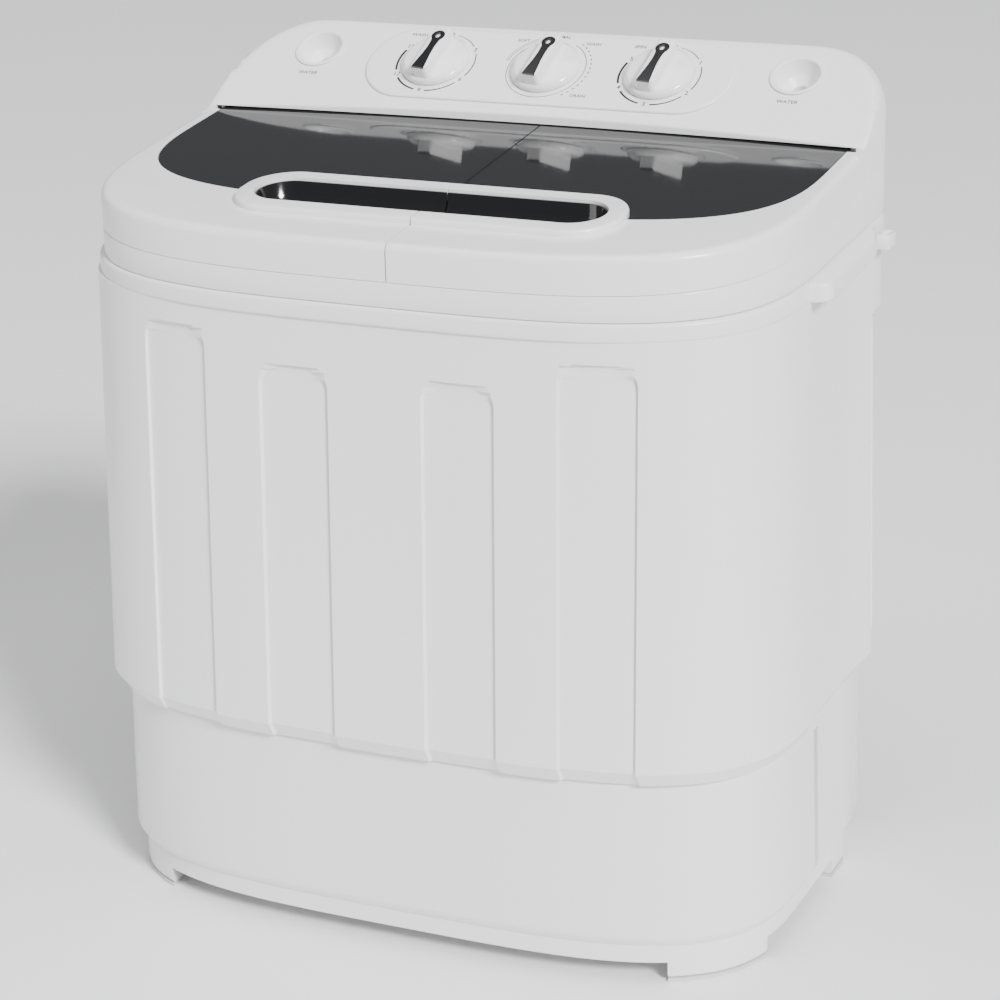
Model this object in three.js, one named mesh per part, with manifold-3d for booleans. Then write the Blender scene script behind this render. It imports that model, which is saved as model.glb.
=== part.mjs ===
// Portable twin tub washer: a wash tub on the left, a spin tub on the right, one body.
// Units are millimetres. X runs to the right as seen from the front, Y to the rear, Z up.
// The origin is on the floor, under the middle of the whole machine.
import * as THREE from 'three';
import { mergeVertices } from 'three/addons/utils/BufferGeometryUtils.js';
import Module from 'manifold-3d';

const wasm = await Module();
wasm.setup();

// ---------------------------------------------------------------- driving dimensions
const HEIGHT = 649;              // floor to the top of the console
const REAR = 190.5;              // the console's rear wall; the body's front line is at -REAR
const HALF_WIDTH = 281;          // lids and console, centre line to side
const GRIP_REACH = 298.5;        // centre line to the outer face of a carrying grip
const GAP = 0.35;                // air between two pieces that rest on each other
const WALL = 2.8;                // moulded wall
const SQUARENESS = 3.5;          // exponent of the front of every plan outline
const FRONT_STEPS = 20;          // facets along that front
const CORNER_STEPS = 3;          // facets of a rear corner

const FOOT_PAD_TOP = 3;
const SKIRT_BOTTOM = 16;
const BASE_BOTTOM = 31;
const BODY_BOTTOM = 166;
const BODY_CREASE = 178;         // widest line of the body
const RIM_FRONT = -179;          // front of the rim, where its heights are given
const RIM_BOTTOM = 498;          // underside of the rim at its front
const RIM_TOP = 512;
const RIM_SLOPE = 0.05;          // the rim rises this much per millimetre to the rear
const SEAM_FRONT = 531;          // seam between top frame and lids, at the front
const LID_SLOPE = 0.1;
const HINGE_Y = 88.5;
const LID_END = 94;              // rear end of the lids' side walls
const LID_REAR = 105;            // rear end of the lids between the console's cheeks
const LID_TOP_AT_HINGE = 586;
const HINGE_DROP = 5;            // hinge axis below the lids' top face
const CONSOLE_FRONT = 94.8;
const CONSOLE_BOTTOM = 566;
const CONSOLE_TILT = 31.8 * Math.PI / 180;
const CONSOLE_EDGE = 589;        // height of the console face at its front edge
const SPLIT_X = 13;              // gap between the two lids
const SPLIT_GAP = 1.2;
const BEYOND = 320;              // cutting blocks reach this far past the machine

const WASH_CENTRE = [-126, -28];
const WASH_HALF = [114, 110];
const WASH_CORNER = 86;
const SPIN_CENTRE = [146, -28];
const SPIN_RADIUS = 104;
const BASKET_RADIUS = 90;
const TUB_FLOOR = 190;
const MOTOR_CENTRE = [-46, 52];  // wash motor, beside the pulsator's pulley
const BELT_HEIGHT = 150;
const PULSATOR_PULLEY_RADIUS = 60;
const MOTOR_PULLEY_RADIUS = 15;

// ---------------------------------------------------------------- materials
const finish = (color, roughness, metalness) => new THREE.MeshStandardMaterial({
  color, roughness, metalness,
});
const plastic = (color, roughness = 0.3) => finish(color, roughness, 0);
const metal = (color, roughness = 0.35) => finish(color, roughness, 1);
const WHITE = 0xf2f2f2;
const SMOKE = 0x2b2b2d;
const BLACK = 0x111111;
const TUB_WHITE = 0xe9edf0;
const PALE_BLUE = 0x7db3e0;
const STEEL = 0xb9bcc0;
const GREY = 0x8d9196;
const RUBBER = 0x1c1c1e;

// ---------------------------------------------------------------- solids
function signedVolume(vertices, triangles) {
  const a = new THREE.Vector3();
  const b = new THREE.Vector3();
  const c = new THREE.Vector3();
  let sum = 0;
  for (let i = 0; i < triangles.length; i += 3) {
    a.fromArray(vertices, triangles[i] * 3);
    b.fromArray(vertices, triangles[i + 1] * 3);
    c.fromArray(vertices, triangles[i + 2] * 3);
    sum += a.dot(b.cross(c));
  }
  return sum / 6;
}

// a closed three.js geometry as a solid, with its faces turned outwards
function solid(geometry) {
  const bare = geometry.clone();
  bare.deleteAttribute('normal');
  bare.deleteAttribute('uv');
  const merged = mergeVertices(bare, 1e-4);
  const vertices = Float32Array.from(merged.attributes.position.array);
  const triangles = [];
  const index = merged.index.array;
  for (let i = 0; i < index.length; i += 3) {
    const [a, b, c] = [index[i], index[i + 1], index[i + 2]];
    if (a !== b && b !== c && a !== c) triangles.push(a, b, c);
  }
  if (signedVolume(vertices, triangles) < 0) triangles.reverse();
  return new wasm.Manifold(new wasm.Mesh({
    numProp: 3, vertProperties: vertices, triVerts: Uint32Array.from(triangles),
  }));
}

function surface(body) {
  const { vertProperties, triVerts } = body.getMesh();
  const geometry = new THREE.BufferGeometry();
  geometry.setAttribute('position', new THREE.BufferAttribute(Float32Array.from(vertProperties), 3));
  geometry.setIndex(new THREE.BufferAttribute(Uint32Array.from(triVerts), 1));
  geometry.computeVertexNormals();
  return geometry;
}

const union = (...bodies) => bodies.reduce((all, body) => all.add(body));
const cut = (body, ...tools) => tools.reduce((rest, tool) => rest.subtract(tool), body);

function part(parent, name, body, material) {
  const mesh = new THREE.Mesh(surface(body), material);
  mesh.name = name;
  parent.add(mesh);
  return mesh;
}

// a box from its lowest to its highest corner
function block(low, high) {
  const size = high.map((value, i) => value - low[i]);
  const geometry = new THREE.BoxGeometry(...size);
  geometry.translate(...low.map((value, i) => value + size[i] / 2));
  return solid(geometry);
}

// an upright cylinder, or a cone frustum
function cylinder(x, y, bottom, top, radius, segments = 24, topRadius = radius) {
  const geometry = new THREE.CylinderGeometry(topRadius, radius, top - bottom, segments);
  geometry.rotateX(Math.PI / 2);
  geometry.translate(x, y, (bottom + top) / 2);
  return solid(geometry);
}

// a rod along X
function rod(left, right, y, z, radius, segments = 16) {
  const geometry = new THREE.CylinderGeometry(radius, radius, right - left, segments);
  geometry.rotateZ(Math.PI / 2);
  geometry.translate((left + right) / 2, y, z);
  return solid(geometry);
}

// a [radius, height] profile, closed on itself or on the axis, turned about an upright axis
function turned(profile, x = 0, y = 0, segments = 24) {
  const points = profile.map(([r, z]) => new THREE.Vector2(r, z));
  const closesOnAxis = profile[0][0] === 0 && profile[profile.length - 1][0] === 0;
  if (!closesOnAxis) points.push(points[0].clone());
  const geometry = new THREE.LatheGeometry(points, segments);
  geometry.rotateX(Math.PI / 2);
  geometry.translate(x, y, 0);
  return solid(geometry);
}

// an [x, y] outline carried straight up; holes are outlines too
function prism(outline, bottom, top, holes = []) {
  const shape = new THREE.Shape(outline.map(([x, y]) => new THREE.Vector2(x, y)));
  for (const hole of holes) shape.holes.push(new THREE.Path(hole.map(([x, y]) => new THREE.Vector2(x, y))));
  const geometry = new THREE.ExtrudeGeometry(shape, { depth: top - bottom, bevelEnabled: false });
  geometry.translate(0, 0, bottom);
  return solid(geometry);
}

// a solid through outlines at rising heights; a height is a number or a function of y
function loft(stack) {
  const clockwise = THREE.ShapeUtils.area(stack[0][0].map(([x, y]) => ({ x, y }))) < 0;
  const levels = stack.map(([outline, height]) => [clockwise ? [...outline].reverse() : outline, height]);
  const count = levels[0][0].length;
  const positions = [];
  for (const [outline, height] of levels) {
    for (const [x, y] of outline) positions.push(x, y, typeof height === 'function' ? height(y) : height);
  }
  const index = [];
  for (let level = 0; level + 1 < levels.length; level += 1) {
    for (let i = 0; i < count; i += 1) {
      const a = level * count + i;
      const b = level * count + (i + 1) % count;
      index.push(a, b, b + count, a, b + count, a + count);
    }
  }
  const cap = (outline, base, flip) => {
    const faces = THREE.ShapeUtils.triangulateShape(outline.map(([x, y]) => new THREE.Vector2(x, y)), []);
    for (const [a, b, c] of faces) index.push(base + a, base + (flip ? c : b), base + (flip ? b : c));
  };
  cap(levels[0][0], 0, true);
  cap(levels[levels.length - 1][0], (levels.length - 1) * count, false);
  const geometry = new THREE.BufferGeometry();
  geometry.setAttribute('position', new THREE.Float32BufferAttribute(positions, 3));
  geometry.setIndex(index);
  return solid(geometry);
}

// ---------------------------------------------------------------- outlines
function arc(x, y, radius, from, to, steps) {
  const points = [];
  for (let i = 0; i <= steps; i += 1) {
    const angle = from + (to - from) * i / steps;
    points.push([x + radius * Math.cos(angle), y + radius * Math.sin(angle)]);
  }
  return points;
}

// the machine's plan: a superellipse in front, straight sides, round rear corners
function plan({ half, front, rear, corner, widest = -9.5, inset = 0 }) {
  const a = half - inset;
  const depth = widest - front - inset;
  const radius = Math.max(corner - inset, 2);
  const back = rear - inset;
  const power = 2 / SQUARENESS;
  const points = [];
  for (let i = 0; i <= FRONT_STEPS; i += 1) {
    const angle = Math.PI * i / FRONT_STEPS;
    const c = -Math.cos(angle);
    const s = Math.sin(angle);
    points.push([a * Math.sign(c) * Math.abs(c) ** power, widest - depth * Math.abs(s) ** power]);
  }
  points.push(...arc(a - radius, back - radius, radius, 0, Math.PI / 2, CORNER_STEPS));
  points.push(...arc(radius - a, back - radius, radius, Math.PI / 2, Math.PI, CORNER_STEPS));
  return points;
}

function roundedRectangle(x, y, halfX, halfY, radius, steps = 4) {
  const quarter = Math.PI / 2;
  return [
    ...arc(x + halfX - radius, y - halfY + radius, radius, -quarter, 0, steps),
    ...arc(x + halfX - radius, y + halfY - radius, radius, 0, quarter, steps),
    ...arc(x - halfX + radius, y + halfY - radius, radius, quarter, 2 * quarter, steps),
    ...arc(x - halfX + radius, y - halfY + radius, radius, 2 * quarter, 3 * quarter, steps),
  ];
}

const circle = (x, y, radius, steps = 24) => arc(x, y, radius, 0, 2 * Math.PI, steps).slice(0, -1);

const bodyPlan = (half, front, inset = 0) => plan({ half, front, rear: 172, corner: 44, inset });
const lidPlan = (inset = 0) => plan({
  half: HALF_WIDTH, front: -177.5, rear: REAR, corner: 50, widest: 15, inset,
});
const rimHeight = (lift) => (y) => lift + RIM_SLOPE * (y - RIM_FRONT);
const seamHeight = (lift = 0) => (y) => SEAM_FRONT + lift + LID_SLOPE * (y - RIM_FRONT);
const lidHeight = (drop = 0) => (y) => LID_TOP_AT_HINGE - drop + LID_SLOPE * (y - HINGE_Y);

const washer = new THREE.Group();

// ---------------------------------------------------------------- base: pan, feet, shell
const basePlan = (inset) => plan({ half: 280, front: -178.5, rear: 116, corner: 28, inset });
const BASE_TAIL = 149.6;         // rear of the narrower box behind the base
const tailPlan = (inset) => roundedRectangle(0, BASE_TAIL - 60, 252 - inset, 60 - inset, 8, 3);
const FOOT_REACH = 34;

function footSolid(side, end, bottom, top) {
  const ring = cut(
    loft([[basePlan(6), bottom], [basePlan(6), top]]),
    loft([[basePlan(6 + FOOT_REACH), bottom - 1], [basePlan(6 + FOOT_REACH), top + 1]]),
  );
  const x = side * 213;
  const y = end < 0 ? -84 : 60;
  return ring.intersect(block(
    [side < 0 ? -300 : x, end < 0 ? -300 : y, bottom - 1],
    [side < 0 ? x : 300, end < 0 ? y : 300, top + 1],
  ));
}

// a rod along Y
function nozzle(x, z, radius, front, rear, segments = 14) {
  const geometry = new THREE.CylinderGeometry(radius, radius, rear - front, segments);
  geometry.translate(x, (front + rear) / 2, z);
  return solid(geometry);
}

const DRAIN_PLACE = [-196, 47];

function buildBase() {
  const skirt = cut(
    union(
      loft([[basePlan(6), SKIRT_BOTTOM], [basePlan(6), BASE_BOTTOM - GAP]]),
      loft([[tailPlan(6), SKIRT_BOTTOM], [tailPlan(6), BASE_BOTTOM - GAP]]),
    ),
    loft([[basePlan(10), SKIRT_BOTTOM - 1], [basePlan(10), BASE_BOTTOM - 4]]),
    loft([[tailPlan(10), SKIRT_BOTTOM - 1], [tailPlan(10), BASE_BOTTOM - 4]]),
  );
  const corners = [
    [-1, -1, 'front_left'], [1, -1, 'front_right'], [-1, 1, 'rear_left'], [1, 1, 'rear_right'],
  ];
  const feet = corners.map(([side, end]) => footSolid(side, end, FOOT_PAD_TOP + GAP, BASE_BOTTOM - 2));
  const ventSlots = [];
  for (let i = 0; i < 5; i += 1) {
    ventSlots.push(block([-220 + i * 24, 10, SKIRT_BOTTOM], [-208 + i * 24, 110, BASE_BOTTOM + 1]));
  }
  part(washer, 'base_pan', cut(union(skirt, ...feet), ...ventSlots), plastic(WHITE));
  for (const [side, end, name] of corners) {
    part(washer, `foot_pad_${name}`, footSolid(side, end, 0, FOOT_PAD_TOP), plastic(0x2a2a2c, 0.8));
  }

  const shell = cut(
    union(
      loft([
        [basePlan(5), BASE_BOTTOM],
        [basePlan(0), BASE_BOTTOM + 9],
        [basePlan(2), BODY_BOTTOM - 1.2],
        [basePlan(9), BODY_BOTTOM - 0.6],
        [basePlan(9), BODY_BOTTOM + 12],
      ]),
      loft([[tailPlan(0), BASE_BOTTOM], [tailPlan(0), BODY_BOTTOM + 12]]),
    ),
    loft([
      [basePlan(9), BASE_BOTTOM - 1],
      [basePlan(4.5), BODY_BOTTOM - 8],
      [basePlan(12), BODY_BOTTOM - 3],
      [basePlan(12), BODY_BOTTOM + 15],
    ]),
    loft([[tailPlan(WALL), BASE_BOTTOM - 1], [tailPlan(WALL), BODY_BOTTOM + 15]]),
  );
  const sideSlot = (side) => block(
    side < 0 ? [-290, -4, 20] : [264, -4, 20],
    side < 0 ? [-264, 5, 156] : [290, 5, 156],
  );
  const rearDoorway = block([-236, 140, 62], [236, 160, 156]);
  const drainHole = nozzle(...DRAIN_PLACE, 12.4, 130, 170);
  part(washer, 'base_shell', cut(shell, sideSlot(-1), sideSlot(1), rearDoorway, drainHole), plastic(WHITE));
}

// ---------------------------------------------------------------- body shell with rim and grips
const BODY_LOW_HALF = 288;
const BODY_TOP_HALF = 283;
const BODY_TOP_FRONT = -175.5;
const STRIPS = [[-198, -142, 482], [-94, -38, 461], [38, 94, 461], [142, 198, 482]];
const STRIP_DEPTH = 3;
const STRIP_CORNER = 16;
const CHANNEL_TOP = 456;
const CHANNEL_FLOOR = 263;       // centre line to the channel's floor
const CHANNEL_FRONT = 110;
const CHANNEL_REAR = 158;
const CHANNEL_CORNER = 12;

const bodyLoft = (inset, low, high) => loft([
  [bodyPlan(BODY_LOW_HALF - 7, -REAR + 7.5, inset), low],
  [bodyPlan(BODY_LOW_HALF, -REAR, inset), BODY_CREASE],
  [bodyPlan(BODY_TOP_HALF, BODY_TOP_FRONT, inset), high],
]);

// an [x, z] outline carried from front to rear
function slab(outline, front, rear) {
  const shape = new THREE.Shape(outline.map(([x, z]) => new THREE.Vector2(x, z)));
  const geometry = new THREE.ExtrudeGeometry(shape, { depth: rear - front, bevelEnabled: false });
  geometry.rotateX(Math.PI / 2);
  geometry.translate(0, rear, 0);
  return solid(geometry);
}

// upright strip, open at the bottom, with round top corners, cut into the front
function stripTool(left, right, top) {
  const quarter = Math.PI / 2;
  return slab([
    [left, 100],
    [right, 100],
    ...arc(right - STRIP_CORNER, top - STRIP_CORNER, STRIP_CORNER, 0, quarter, 4),
    ...arc(left + STRIP_CORNER, top - STRIP_CORNER, STRIP_CORNER, quarter, 2 * quarter, 4),
  ], -220, -60);
}

const HOLLOW_DEPTH = 3;
const HOLLOW_FRONT = -35;
const HOLLOW_RUN_OUT = 60;       // the hollow fades out from here to its rear
const HOLLOW_REAR = 108;

// the long shallow hollow in each side
function sideHollow(side, deeper = 0) {
  const outline = (half) => [
    [half - HOLLOW_DEPTH - deeper, HOLLOW_FRONT - deeper],
    [half - HOLLOW_DEPTH - deeper, HOLLOW_RUN_OUT],
    [half - deeper, HOLLOW_REAR],
    [BEYOND, HOLLOW_REAR],
    [BEYOND, HOLLOW_FRONT - deeper],
  ].map(([x, y]) => [side * x, y]);
  return loft([
    [outline(BODY_LOW_HALF), 140],
    [outline(BODY_LOW_HALF), BODY_CREASE],
    [outline(BODY_TOP_HALF), RIM_BOTTOM + 30],
  ]);
}

// the deep upright channel in each rear corner, with a round top
function cornerChannel(side, deeper = 0) {
  const radius = CHANNEL_CORNER + deeper;
  const middle = CHANNEL_TOP - CHANNEL_CORNER;
  const outline = [
    [CHANNEL_FRONT - deeper, 140],
    [CHANNEL_REAR + deeper, 140],
    ...arc(CHANNEL_REAR - CHANNEL_CORNER, middle, radius, 0, Math.PI / 2, 4),
    ...arc(CHANNEL_FRONT + CHANNEL_CORNER, middle, radius, Math.PI / 2, Math.PI, 4),
  ];
  const shape = new THREE.Shape(outline.map(([y, z]) => new THREE.Vector2(y, z)));
  const geometry = new THREE.ExtrudeGeometry(shape, { depth: 60, bevelEnabled: false });
  geometry.rotateX(Math.PI / 2);
  geometry.rotateZ(Math.PI / 2);
  geometry.translate(side > 0 ? CHANNEL_FLOOR - deeper : -CHANNEL_FLOOR - 60 + deeper, 0, 0);
  return solid(geometry);
}

function rimPlan(inset = 0) {
  return plan({ half: 285.5, front: RIM_FRONT, rear: 174, corner: 46, widest: 15, inset });
}

// carrying grip: the rim swells outwards on each side
function gripPlan(side) {
  return [
    [262, -40], [286, -40], [295, -37], [GRIP_REACH - 0.5, -30], [GRIP_REACH, -20],
    [GRIP_REACH, 62], [GRIP_REACH - 2, 80], [292, 94], [285.7, 105], [262, 105],
  ].map(([x, y]) => [side * x, y]);
}

function buildBody() {
  const strips = STRIPS.map(([left, right, top]) => stripTool(left, right, top));
  const behindStrips = bodyLoft(STRIP_DEPTH, BODY_BOTTOM - 2, RIM_BOTTOM + 30);
  const skin = bodyLoft(0, BODY_BOTTOM, RIM_BOTTOM + 16).subtract(
    loft([[rimPlan(-20), rimHeight(RIM_BOTTOM + 1)], [rimPlan(-20), 700]]),
  );
  const inside = bodyLoft(STRIP_DEPTH + WALL, BODY_BOTTOM - 1, RIM_BOTTOM + 60)
    .subtract(sideHollow(-1, WALL))
    .subtract(sideHollow(1, WALL))
    .subtract(cornerChannel(-1, WALL))
    .subtract(cornerChannel(1, WALL));
  const rim = cut(
    union(
      loft([[rimPlan(), rimHeight(RIM_BOTTOM)], [rimPlan(), rimHeight(RIM_TOP)]]),
      loft([[gripPlan(-1), rimHeight(RIM_BOTTOM)], [gripPlan(-1), rimHeight(RIM_TOP)]]),
      loft([[gripPlan(1), rimHeight(RIM_BOTTOM)], [gripPlan(1), rimHeight(RIM_TOP)]]),
    ),
    loft([[rimPlan(19), 480], [rimPlan(19), 560]]),
  );
  const wall = cut(
    skin,
    inside,
    ...[-1, 1].flatMap((side) => [sideHollow(side), cornerChannel(side)]),
    ...strips.map((strip) => strip.subtract(behindStrips)),
  );
  part(washer, 'body_shell', union(wall, rim), plastic(WHITE));
}

// ---------------------------------------------------------------- lid hinges
const HINGE_Z = LID_TOP_AT_HINGE - HINGE_DROP;
const PIN_RADIUS = 1.8;
const EYE_RADIUS = 3.6;
const EYE_WIDTH = 6;
const PIN_LENGTH = 20;
const LID_SWING_HALF = 272.8;      // the lids' rear ends swing down between these half widths

// left face of each hinge bracket
const BRACKETS = { left: -270, middle: SPLIT_X - EYE_WIDTH / 2, right: 270 - EYE_WIDTH };

// hinge brackets stand on a rail across the top frame
function hingeRail() {
  const rail = block([-276, CONSOLE_FRONT + 2, 544], [276, CONSOLE_FRONT + 9, 562]);
  const brackets = Object.values(BRACKETS).map((left) => {
    const right = left + EYE_WIDTH;
    const body = union(
      block([left, HINGE_Y - 3, 558], [right, HINGE_Y + 2, HINGE_Z]),
      block([left, HINGE_Y - 3, 556], [right, CONSOLE_FRONT + 4, 561.5]),
      rod(left, right, HINGE_Y, HINGE_Z, EYE_RADIUS, 20),
    );
    return body.subtract(rod(left - 1, right + 1, HINGE_Y, HINGE_Z, PIN_RADIUS + GAP, 12));
  });
  return union(rail, ...brackets);
}

// ---------------------------------------------------------------- top frame, deck and tubs
function buildTop() {
  const outer = loft([[lidPlan(), rimHeight(RIM_TOP + GAP)], [lidPlan(), CONSOLE_BOTTOM]]);
  const lidSpace = [
    [-BEYOND, -BEYOND], [BEYOND, -BEYOND], [BEYOND, CONSOLE_FRONT - GAP], [-BEYOND, CONSOLE_FRONT - GAP],
  ];
  const overLids = loft([[lidSpace, seamHeight()], [lidSpace, 700]]);
  const bore = loft([[lidPlan(12), 480], [lidPlan(12), 600]]);
  const lidSwing = block([-LID_SWING_HALF, 94, 562.4], [LID_SWING_HALF, 112, 600]);
  part(washer, 'top_frame', union(cut(outer, overLids, bore, lidSwing), hingeRail()), plastic(WHITE));

  const washOutline = (grow) => roundedRectangle(
    ...WASH_CENTRE, WASH_HALF[0] + grow, WASH_HALF[1] + grow, WASH_CORNER + grow, 5,
  );
  const spinOutline = (grow) => circle(...SPIN_CENTRE, SPIN_RADIUS + grow);
  const under = rimHeight(RIM_TOP + GAP);
  const over = rimHeight(RIM_TOP + GAP + WALL);
  const deck = loft([[lidPlan(13), under], [lidPlan(13), over]]);
  const washHole = loft([[washOutline(1), 480], [washOutline(1), 600]]);
  const spinHole = loft([[spinOutline(1), 480], [spinOutline(1), 600]]);
  part(washer, 'tub_deck', cut(deck, washHole, spinHole), plastic(WHITE));

  const rimUnder = rimHeight(RIM_TOP + 2 * GAP + WALL);
  const rimOver = rimHeight(RIM_TOP + 2 * GAP + WALL + 2.2);
  const cup = (outline, holes) => cut(
    union(
      loft([[outline(-8), TUB_FLOOR], [outline(-0.5), TUB_FLOOR + 40], [outline(0), rimOver]]),
      loft([[outline(9), rimUnder], [outline(9), rimOver]]),
    ),
    loft([
      [outline(-8 - WALL), TUB_FLOOR + WALL],
      [outline(-WALL - 0.5), TUB_FLOOR + 42],
      [outline(-WALL), 600],
    ]),
    ...holes,
  );
  const floorHole = (x, y, radius) => cylinder(x, y, TUB_FLOOR - 5, TUB_FLOOR + 20, radius, 16);
  part(washer, 'wash_tub', cup(washOutline, [
    floorHole(...WASH_CENTRE, 14),
    floorHole(WASH_CENTRE[0] + 86, WASH_CENTRE[1] - 58, 10),
  ]), plastic(TUB_WHITE));
  part(washer, 'spin_tub', cup(spinOutline, [
    floorHole(...SPIN_CENTRE, 24),
    floorHole(SPIN_CENTRE[0] - 60, SPIN_CENTRE[1] + 40, 10),
  ]), plastic(TUB_WHITE));
}

// ---------------------------------------------------------------- lint filter in the wash tub
function buildLintFilter() {
  const x = WASH_CENTRE[0];
  const wall = WASH_CENTRE[1] + WASH_HALF[1] - WALL - GAP - 1;
  const frame = cut(
    block([x - 34, wall - 10, 300], [x + 34, wall, 400]),
    block([x - 28, wall - 7, 306], [x + 28, wall - 3, 394]),
    block([x - 26, wall - 12, 372], [x + 26, wall - 5, 390]),
  );
  part(washer, 'lint_filter', frame, plastic(PALE_BLUE, 0.5));
}

// ---------------------------------------------------------------- lids
const WINDOW_FRONT = -97;
const GLASS = 2.6;
const RAIL_DROP = 10;            // underside of the lids' rear rail, below their top face
const HANDLE_CENTRE = [8, -94.5];
const HANDLE_HALF = [154, 40.5];
const RECESS_HALF = [141, 25];
const HANDLE_LIFT = 5;
const RECESS_DEPTH = 20;

function windowPlan(inset = 0) {
  return plan({ half: 268, front: WINDOW_FRONT, rear: 150, corner: 10, widest: 60, inset });
}

// a stadium with generous end radii
const stadium = ([halfX, halfY], grow = 0) => roundedRectangle(
  ...HANDLE_CENTRE, halfX + grow, halfY + grow, Math.min(halfY + grow, 36 + grow), 5,
);

// upright slice of space between two x and two y
const slice = (left, right, front, rear) => block([left, front, 400], [right, rear, 720]);

const LID_SPANS = {
  wash: [-BEYOND, SPLIT_X - SPLIT_GAP / 2],
  spin: [SPLIT_X + SPLIT_GAP / 2, BEYOND],
};
const CHEEK_INNER = 272;         // the lids pass between the console's cheeks here

// outside the cheeks' inner faces the lids' rear edge is rounded about the hinge axis
function hingeRounding() {
  const edges = [-1, 1].map((side) => {
    const [left, right] = side < 0 ? [-BEYOND, -CHEEK_INNER + 4] : [CHEEK_INNER - 4, BEYOND];
    return block([left, HINGE_Y, HINGE_Z], [right, HINGE_Y + 12, HINGE_Z + 12])
      .subtract(rod(left - 1, right + 1, HINGE_Y, HINGE_Z, CONSOLE_FRONT - HINGE_Y - 0.4, 24));
  });
  return union(...edges);
}

function lidBodies() {
  const shell = cut(
    loft([[lidPlan(), seamHeight(0.5)], [lidPlan(), lidHeight(5)], [lidPlan(4), lidHeight()]]),
    loft([[lidPlan(WALL), 480], [lidPlan(WALL + 1), lidHeight(WALL + 1.4)]]),
  ).intersect(slice(-BEYOND, BEYOND, -BEYOND, LID_END));
  const tail = loft([[lidPlan(1), lidHeight(RAIL_DROP)], [lidPlan(1), lidHeight()]]).intersect(union(
    slice(-BEYOND, BEYOND, HINGE_Y - 7, LID_END),
    slice(-CHEEK_INNER, CHEEK_INNER, HINGE_Y - 7, LID_REAR),
  ));
  const window = (inset, low, high) => loft([[windowPlan(inset), low], [windowPlan(inset), high]])
    .intersect(slice(-BEYOND, BEYOND, -BEYOND, LID_REAR + 0.2 - inset));
  const raised = loft([
    [stadium(HANDLE_HALF), lidHeight(WALL + 1.4)],
    [stadium(HANDLE_HALF), lidHeight(-HANDLE_LIFT + 1.5)],
    [stadium(HANDLE_HALF, -1.5), lidHeight(-HANDLE_LIFT)],
  ]);
  const recess = loft([[stadium(RECESS_HALF), 480], [stadium(RECESS_HALF), 640]]);
  const windowHole = window(-0.4, lidHeight(GLASS + GAP), 660);
  const windowLight = window(7, 480, 660).intersect(slice(-BEYOND, BEYOND, -BEYOND, HINGE_Y - 7));
  const flat = cut(union(shell, tail), windowHole, windowLight, hingeRounding());
  const frame = union(flat, raised).subtract(recess);
  const glass = cut(
    window(0, lidHeight(GLASS), lidHeight()),
    loft([[stadium(HANDLE_HALF, 0.4), 480], [stadium(HANDLE_HALF, 0.4), 660]]),
  );
  const cupOuter = loft([
    [stadium(RECESS_HALF, -10), lidHeight(RECESS_DEPTH)],
    [stadium(RECESS_HALF, -GAP), lidHeight(RECESS_DEPTH - 12)],
    [stadium(RECESS_HALF, -GAP), lidHeight(-HANDLE_LIFT + 2)],
  ]);
  const cupInner = loft([
    [stadium(RECESS_HALF, -10 - 2), lidHeight(RECESS_DEPTH - 2)],
    [stadium(RECESS_HALF, -GAP - 2), lidHeight(RECESS_DEPTH - 12)],
    [stadium(RECESS_HALF, -GAP - 2), lidHeight(-HANDLE_LIFT - 2)],
  ]);
  return { frame, glass, cup: cupOuter.subtract(cupInner) };
}

function buildLids() {
  const { frame, glass, cup } = lidBodies();
  const pockets = Object.values(BRACKETS).map((left) => block(
    [left - 0.6, HINGE_Y - EYE_RADIUS - 0.8, 480],
    [left + EYE_WIDTH + 0.6, 112, HINGE_Z + EYE_RADIUS + 0.4],
  ));
  const outerEnd = -BRACKETS.left - 0.5;
  const pins = {
    wash: [[-outerEnd, PIN_LENGTH - outerEnd], [SPLIT_X - PIN_LENGTH, SPLIT_X - SPLIT_GAP / 2]],
    spin: [[SPLIT_X + SPLIT_GAP / 2, SPLIT_X + PIN_LENGTH], [outerEnd - PIN_LENGTH, outerEnd]],
  };
  for (const [name, [left, right]] of Object.entries(LID_SPANS)) {
    const side = slice(left, right, -BEYOND, LID_REAR + 3);
    const pinRod = ([from, to], grow) => rod(
      from - grow, to + grow, HINGE_Y, HINGE_Z, PIN_RADIUS + grow, 12,
    );
    const bores = pins[name].map((ends) => pinRod(ends, GAP));
    const body = cut(frame.intersect(side), ...pockets, ...bores);
    part(washer, `${name}_lid_frame`, body, plastic(WHITE));
    part(washer, `${name}_lid_window`, cut(glass.intersect(side), ...pockets), plastic(SMOKE, 0.08));
    part(washer, `${name}_lid_handle_cup`, cup.intersect(side), plastic(BLACK, 0.2));
    ['left', 'right'].forEach((end, i) => {
      part(washer, `${name}_hinge_pin_${end}`, pinRod(pins[name][i], 0), metal(STEEL));
    });
  }
}

// ---------------------------------------------------------------- console
const FACE_CENTRE_Y = 148.5;
const FACE_CENTRE_Z = CONSOLE_EDGE + (FACE_CENTRE_Y - CONSOLE_FRONT) * Math.tan(CONSOLE_TILT);
const KNOB_PITCH = 97;
const INLET_X = 207;
const INLET_UP = 10;             // inlets sit this far up the face from its middle
const CONSOLE_SKIN = 3;

// a group whose Z points out of the console face, with its origin on the face
function faceGroup(x, up = 0) {
  const group = new THREE.Group();
  group.rotation.x = CONSOLE_TILT;
  group.position.set(
    x,
    FACE_CENTRE_Y + up * Math.cos(CONSOLE_TILT),
    FACE_CENTRE_Z + up * Math.sin(CONSOLE_TILT),
  );
  washer.add(group);
  return group;
}

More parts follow.
